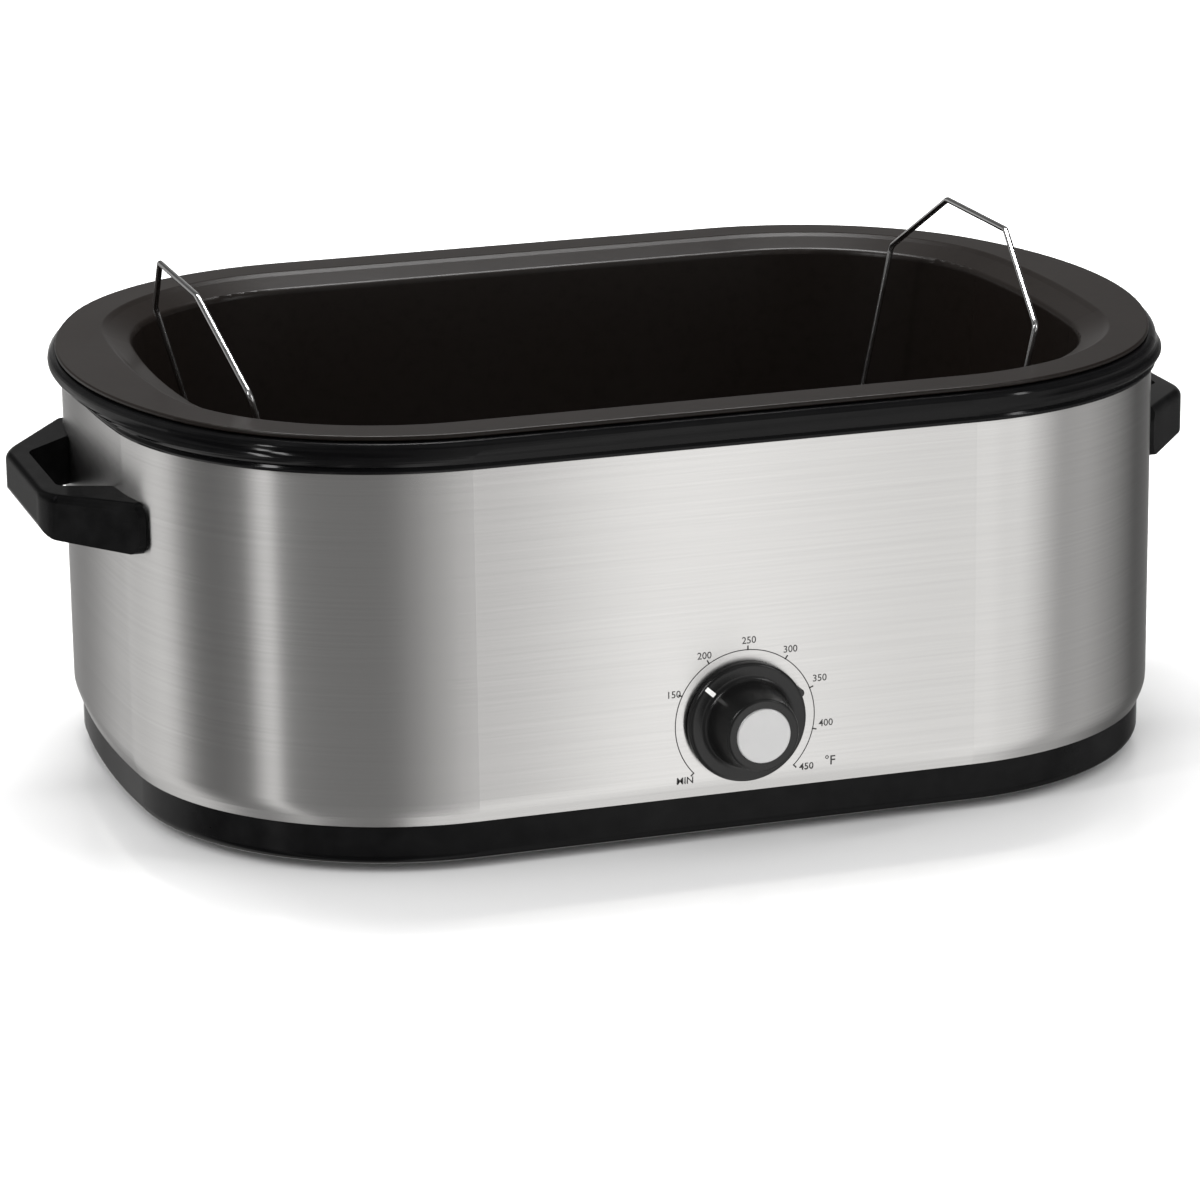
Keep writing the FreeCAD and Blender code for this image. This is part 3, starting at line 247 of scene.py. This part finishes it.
# %% [markdown]
# ## A scrim before the front wall
# A long flat wall of brushed steel shows only a narrow slice of a far room, so it would
# come out one even grey. A studio hangs a grey net, a scrim, close in front of part of the
# light, and its soft edge draws a slow shade along the flat wall. This one is dense before
# the left of the wall, clear before its middle, and thinly folded once more before the
# right. Both its ends are clear, so its outline doesn't show, and only mirror rays meet it.

# %% Hang the scrim
SCRIM_Y = -1.5
SCRIM_LEFT, SCRIM_RIGHT = -1.2, 1.0
SCRIM_FOOT, SCRIM_HEAD = -2.5, 1.5
scrim = flat_sheet("scrim", [(SCRIM_LEFT, SCRIM_Y, SCRIM_FOOT), (SCRIM_RIGHT, SCRIM_Y, SCRIM_FOOT),
                             (SCRIM_RIGHT, SCRIM_Y, SCRIM_HEAD), (SCRIM_LEFT, SCRIM_Y, SCRIM_HEAD)])
scrim.visible_camera = False
scrim.visible_diffuse = False
scrim.visible_shadow = False
print("scrim: %.1f m wide" % (SCRIM_RIGHT - SCRIM_LEFT))

# %% Shade the scrim
SHADES = (
    # metres to the right of the roaster's middle, and the share of light let through
    (-0.9, 1.0), (-0.3, 0.415), (0.12, 0.42), (0.20, 0.53), (0.25, 0.46), (0.285, 0.37),
    (0.31, 0.51), (0.35, 0.75), (0.385, 0.92), (0.42, 1.0), (0.56, 0.82), (0.64, 0.66),
    (0.67, 0.70), (0.77, 0.86), (0.95, 1.0),
)
net_material = bpy.data.materials.new("scrim_net")
net_material.use_nodes = True
net = net_material.node_tree
net.nodes.clear()
net_place = net.nodes.new("ShaderNodeTexCoord")
net_sides = net.nodes.new("ShaderNodeSeparateXYZ")
wire(net, net_place.outputs["Object"], net_sides.inputs[0])
along_the_net = map_range(net, net_sides.outputs["X"], SCRIM_LEFT, SCRIM_RIGHT)
shade_steps = [((x - SCRIM_LEFT) / (SCRIM_RIGHT - SCRIM_LEFT), (through, through, through))
               for x, through in SHADES]
shade = colour_ramp(net, along_the_net, shade_steps)
clear = net.nodes.new("ShaderNodeBsdfTransparent")
wire(net, shade, clear.inputs["Color"])
net_out = net.nodes.new("ShaderNodeOutputMaterial")
wire(net, clear.outputs[0], net_out.inputs["Surface"])
scrim.data.materials.append(net_material)
print("scrim steps:", len(SHADES))

# %% [markdown]
# ## Effects that the finishes share
# What changes over a surface comes from a few small node groups, built once and placed in
# each material with its own values. Each group works in metres on the piece's own
# coordinates, so a grain is as fine on a screw as it is on the wall.

# %% Make the helpers of the groups
EFFECTS = {}


def new_group(name, inputs, outputs):
    """An empty group with its sockets: its inputs, its results and its coordinates."""
    group = bpy.data.node_groups.new(name, "ShaderNodeTree")
    for label, value in inputs:
        socket = group.interface.new_socket(label, in_out="INPUT", socket_type="NodeSocketFloat")
        socket.default_value = value
    for label in outputs:
        group.interface.new_socket(label, in_out="OUTPUT", socket_type="NodeSocketFloat")
    given = group.nodes.new("NodeGroupInput").outputs
    results = group.nodes.new("NodeGroupOutput").inputs
    place = group.nodes.new("ShaderNodeTexCoord")
    return group, given, results, place.outputs["Object"]


def noise(tree, vector, scale, detail, rough=0.5):
    node = tree.nodes.new("ShaderNodeTexNoise")
    node.inputs["Detail"].default_value = detail
    node.inputs["Roughness"].default_value = rough
    wire(tree, vector, node.inputs["Vector"])
    feed(tree, node.inputs["Scale"], scale)
    return node.outputs["Fac"]


def stretched(tree, vector, along, across):
    """The coordinates squeezed in height, so that a noise on them runs in level streaks."""
    factors = tree.nodes.new("ShaderNodeCombineXYZ")
    wire(tree, along, factors.inputs[0])
    wire(tree, along, factors.inputs[1])
    wire(tree, across, factors.inputs[2])
    scaled = tree.nodes.new("ShaderNodeVectorMath")
    scaled.operation = "MULTIPLY"
    wire(tree, vector, scaled.inputs[0])
    wire(tree, factors.outputs[0], scaled.inputs[1])
    return scaled.outputs[0]


print("group helpers: new_group, noise, stretched")

# %% [markdown]
# ## Grain of brushed metal
# A brush leaves level scratches. The fine ones go to the bump, and broader ones, fewer and
# longer, go to the shade. Along and Across say how many streaks there are to a metre in
# each direction.

# %% Make the grain
def make_brushed_grain():
    broad_across, broad_along = 0.32, 0.5
    group, given, results, place = new_group(
        "brushed_grain", [("Along", 12), ("Across", 2400)], ["Fine", "Broad"])
    fine_place = stretched(group, place, given["Along"], given["Across"])
    wire(group, noise(group, fine_place, 1.0, detail=3, rough=0.6), results["Fine"])
    fewer = math_node(group, "MULTIPLY", given["Across"], broad_across)
    longer = math_node(group, "MULTIPLY", given["Along"], broad_along)
    broad_place = stretched(group, place, longer, fewer)
    wire(group, noise(group, broad_place, 1.0, detail=3, rough=0.65), results["Broad"])
    return group


EFFECTS["grain"] = make_brushed_grain()
print("effect:", EFFECTS["grain"].name)

# %% [markdown]
# ## Smudges and pits
# Handling and cleaning leave an uneven shine, in slow cloudy changes from 0 to 1. Baked
# enamel and moulded plastic have a skin of fine pits over shallow waves five times as wide.

# %% Make the smudges and the pits
def make_smudges():
    thin, thick = 0.2, 0.8    # the noise values that become 0 and 1
    group, given, results, place = new_group("smudges", [("Scale", 14)], ["Cloud"])
    cloud = noise(group, place, given["Scale"], detail=4, rough=0.55)
    wire(group, map_range(group, cloud, thin, thick), results["Cloud"])
    return group


def make_pits():
    wave_share = 0.2
    group, given, results, place = new_group("pits", [("Scale", 500)], ["Height"])
    fine = noise(group, place, given["Scale"], detail=2)
    slow_scale = math_node(group, "MULTIPLY", given["Scale"], wave_share)
    slow = noise(group, place, slow_scale, detail=1)
    wire(group, math_node(group, "ADD", fine, slow), results["Height"])
    return group


EFFECTS["smudges"] = make_smudges()
EFFECTS["pits"] = make_pits()
print("effects:", EFFECTS["smudges"].name, EFFECTS["pits"].name)

# %% [markdown]
# ## Worn edges and distance
# Hands rub a glossy piece on its sharp outer edges first. Pointiness tells where those are:
# it is a half on a flat face and more on an edge, and a noise breaks the line up. The last
# group says how far a point is from the roaster, from 0 near it to 1 well away.

# %% Make the worn edges and the distance
def make_worn_edges():
    flat_face, patches = 0.5, 90.0
    group, given, results, place = new_group("worn_edges", [("Reach", 0.06)], ["Edge"])
    shape = group.nodes.new("ShaderNodeNewGeometry")
    sharp_edge = math_node(group, "ADD", given["Reach"], flat_face)
    edge = map_range(group, shape.outputs["Pointiness"], flat_face, sharp_edge)
    broken = math_node(group, "MULTIPLY", edge, noise(group, place, patches, detail=3))
    wire(group, broken, results["Edge"])
    return group


def make_distance():
    group, given, results, place = new_group("distance", [("Near", 0.5), ("Far", 1.5)], ["Away"])
    length = group.nodes.new("ShaderNodeVectorMath")
    length.operation = "LENGTH"
    wire(group, place, length.inputs[0])
    away = map_range(group, length.outputs["Value"], given["Near"], given["Far"])
    wire(group, away, results["Away"])
    return group


EFFECTS["edges"] = make_worn_edges()
EFFECTS["distance"] = make_distance()
print("shared effects:", ", ".join(EFFECTS))

# %% [markdown]
# ## One way to write a finish
# Each finish is one Principled shader. Numbers that are the same all over go on the
# shader's own sockets, and only what varies is wired in. The plain colour and roughness
# given first are what a simple viewer shows of a finish that varies.

# %% Make the helpers of the finishes
class Finish:
    """One material with its Principled shader, and short ways to feed its sockets."""

    def __init__(self, name, color, roughness, metallic=0.0, **fixed):
        self.material = bpy.data.materials.new(name)
        self.material.use_nodes = True
        self.tree = self.material.node_tree
        self.shader = self.tree.nodes["Principled BSDF"]
        self.shader.inputs["Base Color"].default_value = (*color, 1)
        self.shader.inputs["Roughness"].default_value = roughness
        self.shader.inputs["Metallic"].default_value = metallic
        for socket, value in fixed.items():
            self.shader.inputs[socket.replace("_", " ")].default_value = value
        self.material.diffuse_color = (*color, 1)

    def effect(self, name, output, **values):
        """Places a shared effect with its own values, and gives one of its outputs."""
        node = self.tree.nodes.new("ShaderNodeGroup")
        node.node_tree = EFFECTS[name]
        for socket, value in values.items():
            node.inputs[socket].default_value = value
        return node.outputs[output]

    def vary_roughness(self, mask, low, high):
        spread = map_range(self.tree, mask, 0, 1, low, high)
        wire(self.tree, spread, self.shader.inputs["Roughness"])

    def vary_color(self, mask, low, high):
        mix = self.tree.nodes.new("ShaderNodeMix")
        mix.data_type = "RGBA"
        mix.inputs["A"].default_value = (*low, 1)
        mix.inputs["B"].default_value = (*high, 1)
        wire(self.tree, mask, mix.inputs["Factor"])
        wire(self.tree, mix.outputs["Result"], self.shader.inputs["Base Color"])

    def glow(self, mask, strength):
        wire(self.tree, mask, self.shader.inputs["Emission Color"])
        self.shader.inputs["Emission Strength"].default_value = strength

    def bump(self, height, depth):
        """Depth is the height, in metres, that a step of 1 in the effect stands for."""
        node = self.tree.nodes.new("ShaderNodeBump")
        node.inputs["Distance"].default_value = depth
        node.inputs["Strength"].default_value = 1.0
        wire(self.tree, height, node.inputs["Height"])
        wire(self.tree, node.outputs[0], self.shader.inputs["Normal"])


def dress(finish, *names):
    for name in names:
        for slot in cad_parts[name].material_slots:
            slot.material = finish.material
    print("%s: %s" % (finish.material.name, ", ".join(names)))


print("finish helpers: Finish, dress")

# %% [markdown]
# ## Brushed stainless
# The wrap is brushed level, along its length. Fine level scratches scatter light up and
# down but hardly sideways, so the studio's panels stay as upright bands while everything
# else melts away. The shader's anisotropy does most of that, turned by a tangent that runs
# round the Z axis; a fine grain in the bump and the shade gives the eye the scratches. The
# shine varies only a little, because a wide swing shows as blotches on so large a wall.

# %% Finish the wrap and its seam
GRAIN_DARK, GRAIN_LIGHT = 0.91, 1.09    # shares of the steel's own colour
SMOOTHER, ROUGHER = 0.025, 0.01         # how far the roughness swings each way


def brushed_steel(name, color, roughness, depth):
    steel = Finish(name, color, roughness, metallic=1.0, Anisotropic=0.93, Anisotropic_Rotation=0.25)
    tangent = steel.tree.nodes.new("ShaderNodeTangent")
    tangent.direction_type = "RADIAL"
    tangent.axis = "Z"
    wire(steel.tree, tangent.outputs[0], steel.shader.inputs["Tangent"])
    dark = tuple(part * GRAIN_DARK for part in color)
    light = tuple(part * GRAIN_LIGHT for part in color)
    steel.vary_color(steel.effect("grain", "Broad"), dark, light)
    cloud = steel.effect("smudges", "Cloud", Scale=5.0)
    steel.vary_roughness(cloud, roughness - SMOOTHER, roughness + ROUGHER)
    steel.bump(steel.effect("grain", "Fine"), depth)
    return steel


wrap_steel = brushed_steel("wrap_steel", (0.64, 0.635, 0.628), roughness=0.26, depth=0.000005)
dress(wrap_steel, "outer_shell", "shell_seam")

# %% [markdown]
# ## Zinc, tin and brass
# The screws, rivets and shaft are plain plated steel, and the brackets and posts are zinc
# plated sheet with its cloudy spangle. The thermostat's bushing and the blades are tinned
# brass, and the fuse has a bright drawn case. They are small, so smudges are enough.

# %% Finish the small metal
plated = Finish("plated_steel", (0.60, 0.60, 0.58), roughness=0.34, metallic=1.0)
plated.vary_roughness(plated.effect("smudges", "Cloud", Scale=160.0), 0.24, 0.46)
dress(plated, "seam_rivets", "base_screws", "foot_screws", "handle_screws_left",
      "handle_screws_right", "bushing_nut", "thermostat_shaft")
zinc = Finish("zinc_sheet", (0.62, 0.62, 0.60), roughness=0.42, metallic=1.0)
zinc.vary_color(zinc.effect("smudges", "Cloud", Scale=60.0), (0.5, 0.5, 0.49), (0.7, 0.7, 0.68))
zinc.vary_roughness(zinc.effect("smudges", "Cloud", Scale=35.0), 0.32, 0.5)
dress(zinc, "reflector", "thermostat_bracket", "fuse_clip", "post_front_left",
      "post_front_right", "post_back_left", "post_back_right")
brass = Finish("tinned_brass", (0.72, 0.62, 0.38), roughness=0.3, metallic=1.0)
brass.vary_roughness(brass.effect("smudges", "Cloud", Scale=120.0), 0.22, 0.4)
dress(brass, "heater_tabs", "thermostat_tabs", "thermostat_bushing", "thermostat_sensor")
fuse_case = Finish("fuse_case", (0.78, 0.78, 0.78), roughness=0.3, metallic=1.0)
fuse_case.vary_roughness(fuse_case.effect("smudges", "Cloud", Scale=200.0), 0.22, 0.38)
dress(fuse_case, "thermal_fuse")

# %% [markdown]
# ## Black plastic and enamel
# The collar and handles are glossy moulded phenolic, the base is glossy baked enamel and
# the knob is a little duller. All of them are black, so their shape shows only in what
# they mirror. A deep base colour with a modest mirror keeps them black, and faint pits and
# rubbed edges keep the gloss from looking wet.

# %% Finish the black pieces
RUBBED = 0.008                  # how much lighter the colour is where it is rubbed
WIPED, UNTOUCHED = 0.75, 1.35   # shares of the roughness, where it shines most and least


def glossy_black(name, color, roughness, mirror, pit_scale, pit_depth):
    black = Finish(name, color, roughness, Specular_IOR_Level=mirror)
    rubbed = tuple(part + RUBBED for part in color)
    black.vary_color(black.effect("edges", "Edge"), color, rubbed)
    black.vary_roughness(black.effect("smudges", "Cloud"), roughness * WIPED, roughness * UNTOUCHED)
    black.bump(black.effect("pits", "Height", Scale=pit_scale), pit_depth)
    return black


collar_black = glossy_black("collar_black", (0.0015, 0.0015, 0.0017), roughness=0.10, mirror=0.16,
                            pit_scale=420.0, pit_depth=0.000004)
dress(collar_black, "rim_collar")
handle_black = glossy_black("handle_black", (0.0010, 0.0010, 0.0011), roughness=0.08, mirror=0.05,
                            pit_scale=420.0, pit_depth=0.000005)
dress(handle_black, "handle_left", "handle_right")
base_black = glossy_black("base_enamel", (0.0015, 0.0015, 0.0017), roughness=0.14, mirror=0.08,
                          pit_scale=300.0, pit_depth=0.000008)
dress(base_black, "base_tray")
knob_black = glossy_black("knob_black", (0.0060, 0.0060, 0.0060), roughness=0.24, mirror=0.42,
                          pit_scale=700.0, pit_depth=0.000006)
dress(knob_black, "knob")

# %% [markdown]
# ## Knob cap and pointer
# The cap is a disc of fine satin aluminium let into the front of the grip. The pointer is
# a white bar of plastic.

# %% Finish the cap and the pointer
cap_metal = Finish("cap_metal", (0.64, 0.64, 0.64), roughness=0.4, metallic=0.7)
cap_metal.vary_roughness(cap_metal.effect("smudges", "Cloud", Scale=300.0), 0.36, 0.46)
cap_metal.bump(cap_metal.effect("pits", "Height", Scale=3000.0), depth=0.000006)
dress(cap_metal, "knob_cap")
pointer_white = Finish("pointer_white", (0.92, 0.92, 0.90), roughness=0.4)
pointer_white.vary_roughness(pointer_white.effect("smudges", "Cloud", Scale=400.0), 0.35, 0.5)
dress(pointer_white, "knob_pointer")

# %% [markdown]
# ## Pan and well
# The pan is steel under a dark porcelain enamel with a faint warm cast, satin and slightly
# speckled. One finish covers all of it, because depth alone darkens the inside. The well
# that the pan hangs in has a plainer and rougher enamel.

# %% Finish the pan and the well
pan_enamel = Finish("pan_enamel", (0.005, 0.004, 0.0035), roughness=0.30, Specular_IOR_Level=0.22)
pan_enamel.vary_color(pan_enamel.effect("pits", "Height", Scale=900.0),
                      (0.0022, 0.0012, 0.0008), (0.0075, 0.0055, 0.0045))
pan_enamel.vary_roughness(pan_enamel.effect("smudges", "Cloud", Scale=9.0), 0.28, 0.36)
pan_enamel.bump(pan_enamel.effect("pits", "Height", Scale=900.0), depth=0.00001)
dress(pan_enamel, "insert_pan")
well_enamel = Finish("well_enamel", (0.02, 0.02, 0.022), roughness=0.45)
well_enamel.vary_roughness(well_enamel.effect("smudges", "Cloud", Scale=20.0), 0.35, 0.55)
well_enamel.bump(well_enamel.effect("pits", "Height", Scale=600.0), depth=0.00002)
dress(well_enamel, "oven_well")

# %% [markdown]
# ## Chrome wire
# The rack and its bails are bright plated wire. Chrome mirrors whatever is round it, with a
# trace of drawing marks in its shine.

# %% Finish the wire
chrome = Finish("chrome_wire", (0.55, 0.55, 0.55), roughness=0.16, metallic=1.0)
chrome.vary_roughness(chrome.effect("smudges", "Cloud", Scale=90.0), 0.12, 0.26)
dress(chrome, "rack_rim", "rack_long_wires", "rack_cross_wires", "rack_skids",
      "bail_left", "bail_right")

# %% [markdown]
# ## What is inside
# Glass fibre, heater tape, ceramic, rubber and silicone: matt stuff, most of it only seen
# when the roaster is opened, each with the texture it is known by.

# %% Finish the fibre and the heater tape
fibre = Finish("glass_fibre", (0.86, 0.82, 0.68), roughness=0.9)
fibre.vary_color(fibre.effect("smudges", "Cloud", Scale=120.0), (0.74, 0.68, 0.5), (0.9, 0.87, 0.76))
fibre.bump(fibre.effect("pits", "Height", Scale=350.0), depth=0.0006)
dress(fibre, "wall_blanket", "floor_pad")
tape = Finish("heater_tape", (0.74, 0.68, 0.56), roughness=0.8)
tape.vary_color(tape.effect("grain", "Broad", Along=3.0, Across=900.0),
                (0.55, 0.48, 0.36), (0.8, 0.75, 0.63))
tape.bump(tape.effect("grain", "Broad", Along=3.0, Across=900.0), depth=0.0003)
dress(tape, "heater_band")

# %% Finish the ceramic, the rubber and the sleeves
ceramic = Finish("steatite", (0.84, 0.82, 0.76), roughness=0.65)
ceramic.bump(ceramic.effect("pits", "Height", Scale=700.0), depth=0.00005)
dress(ceramic, "thermostat_body", "terminal_block")
rubber = Finish("black_rubber", (0.025, 0.025, 0.025), roughness=0.7)
rubber.bump(rubber.effect("pits", "Height", Scale=900.0), depth=0.00004)
dress(rubber, "foot_front_left", "foot_front_right", "foot_back_left", "foot_back_right", "cord_gland")
sleeve = Finish("silicone_sleeve", (0.82, 0.79, 0.72), roughness=0.5)
sleeve.bump(sleeve.effect("pits", "Height", Scale=1200.0), depth=0.00003)
dress(sleeve, "lead_to_thermostat", "lead_to_heater", "lead_to_fuse", "lead_fuse_to_heater")

# %% [markdown]
# ## The floor's finish
# The floor is a white board with a slight shine, which catches a trace of the base. Seen
# from low down, a plain sheet turns grey towards its far edge. So it also glows, by more
# the further away from the roaster, until it is as white as the backdrop behind it.

# %% Finish the floor
FLOOR_GLOW = 1.2
floor_finish = Finish("floor_white", (0.88, 0.88, 0.88), roughness=0.10, Specular_IOR_Level=0.9)
floor_finish.vary_roughness(floor_finish.effect("smudges", "Cloud", Scale=3.0), 0.08, 0.12)
floor_finish.glow(floor_finish.effect("distance", "Away"), FLOOR_GLOW)
floor.data.materials.append(floor_finish.material)
print("floor finish:", floor_finish.material.name)

# %% [markdown]
# ## The printed dial
# The temperatures are screen printed on the steel round the knob: a thin ring from MIN
# clockwise to 450, a short tick at each step and the numbers outside it. Print has almost
# no thickness, so the ring and ticks are strips of mesh a few hundredths of a millimetre
# proud of the steel, and the numbers are text turned into mesh, standing on the same face.

# %% Measure the dial and its scale
SCALE_AT = Vector((0.0072, -0.17585, 0.0593))    # on the face of the wrap
SCALE_RADIUS = 34.5 * MM
PRINT_PROUD = 0.03 * MM
MARKS = (
    # what it says, its angle from three o'clock, and its middle in mm from the scale's middle
    ("MIN", 222.1, (-29.9, -26.5)), ("150", 154.1, (-35.2, 16.2)), ("200", 120.7, (-19.9, 33.6)),
    ("250", 87.5, (2.1, 38.9)), ("300", 54.4, (22.6, 32.5)), ("350", 21.3, (37.2, 16.8)),
    ("400", -12.9, (40.3, -5.6)), ("450", -45.7, (30.6, -26.2)),
)
DEGREE_SIGN_AT = (42.4, -24.6)


def on_dial(right, up):
    return SCALE_AT + Vector((right, -PRINT_PROUD, up))


print("steps on the scale:", len(MARKS))

# %% Mix the ink and make the helpers for printed pieces
ink = Finish("scale_ink", (0.035, 0.034, 0.034), roughness=0.45)
ink.vary_color(ink.effect("smudges", "Cloud", Scale=900.0), (0.025, 0.025, 0.025), (0.07, 0.068, 0.066))
ink.vary_roughness(ink.effect("smudges", "Cloud", Scale=300.0), 0.38, 0.55)


def flat_strip(mesh, inner, outer):
    """Faces between two rows of points."""
    inside = [mesh.verts.new(point) for point in inner]
    outside = [mesh.verts.new(point) for point in outer]
    for first in range(len(inner) - 1):
        mesh.faces.new((inside[first], inside[first + 1], outside[first + 1], outside[first]))


def new_piece(name, mesh, body, finish):
    data = bpy.data.meshes.new(name)
    mesh.to_mesh(data)
    mesh.free()
    data.materials.append(finish.material)
    piece = bpy.data.objects.new(name, data)
    bpy.context.scene.collection.objects.link(piece)
    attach(piece, body)
    return piece


print("ink:", ink.material.name)

# %% Draw the ring and the ticks
RING_HALF_WIDTH = 0.25 * MM
RING_STEPS = 96
TICK_HALF_WIDTH = 0.35 * MM
TICK_INWARD = 0.3 * MM
TICK_OUTWARD = 2.0 * MM


def around(radius, degrees):
    angle = math.radians(degrees)
    return on_dial(radius * math.cos(angle), radius * math.sin(angle))


ring = bmesh.new()
first_angle = MARKS[0][1]
last_angle = MARKS[-1][1]
ring_angles = [first_angle + (last_angle - first_angle) * step / RING_STEPS
               for step in range(RING_STEPS + 1)]
flat_strip(ring, [around(SCALE_RADIUS - RING_HALF_WIDTH, angle) for angle in ring_angles],
           [around(SCALE_RADIUS + RING_HALF_WIDTH, angle) for angle in ring_angles])
half_tick = math.degrees(TICK_HALF_WIDTH / SCALE_RADIUS)
for _, middle, _ in MARKS:
    edges = (middle - half_tick, middle + half_tick)
    flat_strip(ring, [around(SCALE_RADIUS - TICK_INWARD, angle) for angle in edges],
               [around(SCALE_RADIUS + TICK_OUTWARD, angle) for angle in edges])
for face in ring.faces:
    face.normal_update()
    if face.normal.y > 0:    # a face that looks into the wrap is turned round
        face.normal_flip()
new_piece("dial_ring", ring, "housing", ink)
print("ring radius %.1f mm" % (SCALE_RADIUS / MM))

# %% Set the numbers
NUMBER_TALL = 4.8 * MM
DEGREE_SIGN_TALL = 6.4 * MM
FATTENED = 0.010       # how far the strokes are widened, as a share of the height
CURVE_STEPS = 3


def printed(name, words, middle, tall):
    """Words as flat mesh, upright on the wrap's face and centred on a place in mm."""
    text = bpy.data.curves.new(name, "FONT")
    text.body = words
    text.size = tall
    text.align_x = "CENTER"
    text.align_y = "CENTER"
    text.resolution_u = CURVE_STEPS
    text.offset = tall * FATTENED
    holder = bpy.data.objects.new(name + "_words", text)
    bpy.context.scene.collection.objects.link(holder)
    shapes = bpy.context.evaluated_depsgraph_get()
    shapes.update()
    mesh = bmesh.new()
    mesh.from_mesh(bpy.data.meshes.new_from_object(holder.evaluated_get(shapes)))
    right, up = middle
    mesh.transform(Matrix.Translation(on_dial(right * MM, up * MM)) @ Matrix.Rotation(math.pi / 2, 4, "X"))
    bpy.data.objects.remove(holder)
    new_piece(name, mesh, "housing", ink)


for words, _, middle in MARKS:
    printed("print_" + words, words, middle, NUMBER_TALL)
printed("print_degrees", "\u00b0F", DEGREE_SIGN_AT, DEGREE_SIGN_TALL)
print("printed marks:", len(MARKS) + 1)

# %% [markdown]
# ## Weld spots of the rack
# Every wire of the rack is resistance welded where it crosses the rim wire. The weld leaves
# a small flattened nugget between the two. Each nugget is a squashed ball of mesh, with its
# surface pushed in and out a little, because no two welds are alike.

# %% Find where the wires cross the rim
RIM_HALF = (0.1808, 0.1099)       # of the rim wire's middle line
RIM_CORNER = 0.050
RACK_MIDDLE = Vector((-0.002, 0.01135))
LONG_WELD_Z = 0.0530
CROSS_WELD_Z = 0.0490
LONG_PITCH = 0.02463
CROSS_PITCH = 0.03895
LONG_WIRES = [row * LONG_PITCH for row in range(-3, 4)]
CROSS_WIRES = [row * CROSS_PITCH for row in range(-4, 5)]


def rim_reach(x):
    """How far from the rack's middle line the rim wire is, at this x."""
    into_corner = abs(x) - (RIM_HALF[0] - RIM_CORNER)
    if into_corner <= 0:
        return RIM_HALF[1]
    return RIM_HALF[1] - RIM_CORNER + math.sqrt(RIM_CORNER ** 2 - into_corner ** 2)


print("wires:", len(LONG_WIRES), "long and", len(CROSS_WIRES), "cross")

# %% Weld the rack
WELD_WIDE, WELD_THICK = 2.1, 1.0    # half the size of a nugget, in mm
WELD_INWARD = 0.6                   # how far inside the rim wire's middle line it sits, in mm
LUMPS = 0.18                        # how far its surface goes in and out, as a share of its size
LUMP_SCALE = 1.7
LUMP_SPREAD = 400                   # carries each weld to lumps of its own


def nugget(mesh, x, y, z, inward):
    made = bmesh.ops.create_icosphere(mesh, subdivisions=2, radius=1.0)
    for vertex in made["verts"]:
        lumpy = 1 + LUMPS * hills.noise(vertex.co * LUMP_SCALE + Vector((x, y, z)) * LUMP_SPREAD)
        place = Vector((x, y, z)) + inward * WELD_INWARD * MM
        flattened = Vector((vertex.co.x * WELD_WIDE, vertex.co.y * WELD_WIDE, vertex.co.z * WELD_THICK))
        vertex.co = place + flattened * lumpy * MM


welds = bmesh.new()
for side in (-1, 1):
    for y in LONG_WIRES:
        nugget(welds, RACK_MIDDLE.x + side * RIM_HALF[0], RACK_MIDDLE.y + y, LONG_WELD_Z,
               Vector((-side, 0, 0)))
    for x in CROSS_WIRES:
        nugget(welds, RACK_MIDDLE.x + x, RACK_MIDDLE.y + side * rim_reach(x), CROSS_WELD_Z,
               Vector((0, -side, 0)))
weld_piece = new_piece("rack_welds", welds, "rack", chrome)
for face in weld_piece.data.polygons:
    face.use_smooth = True
print("welds:", 2 * (len(LONG_WIRES) + len(CROSS_WIRES)))
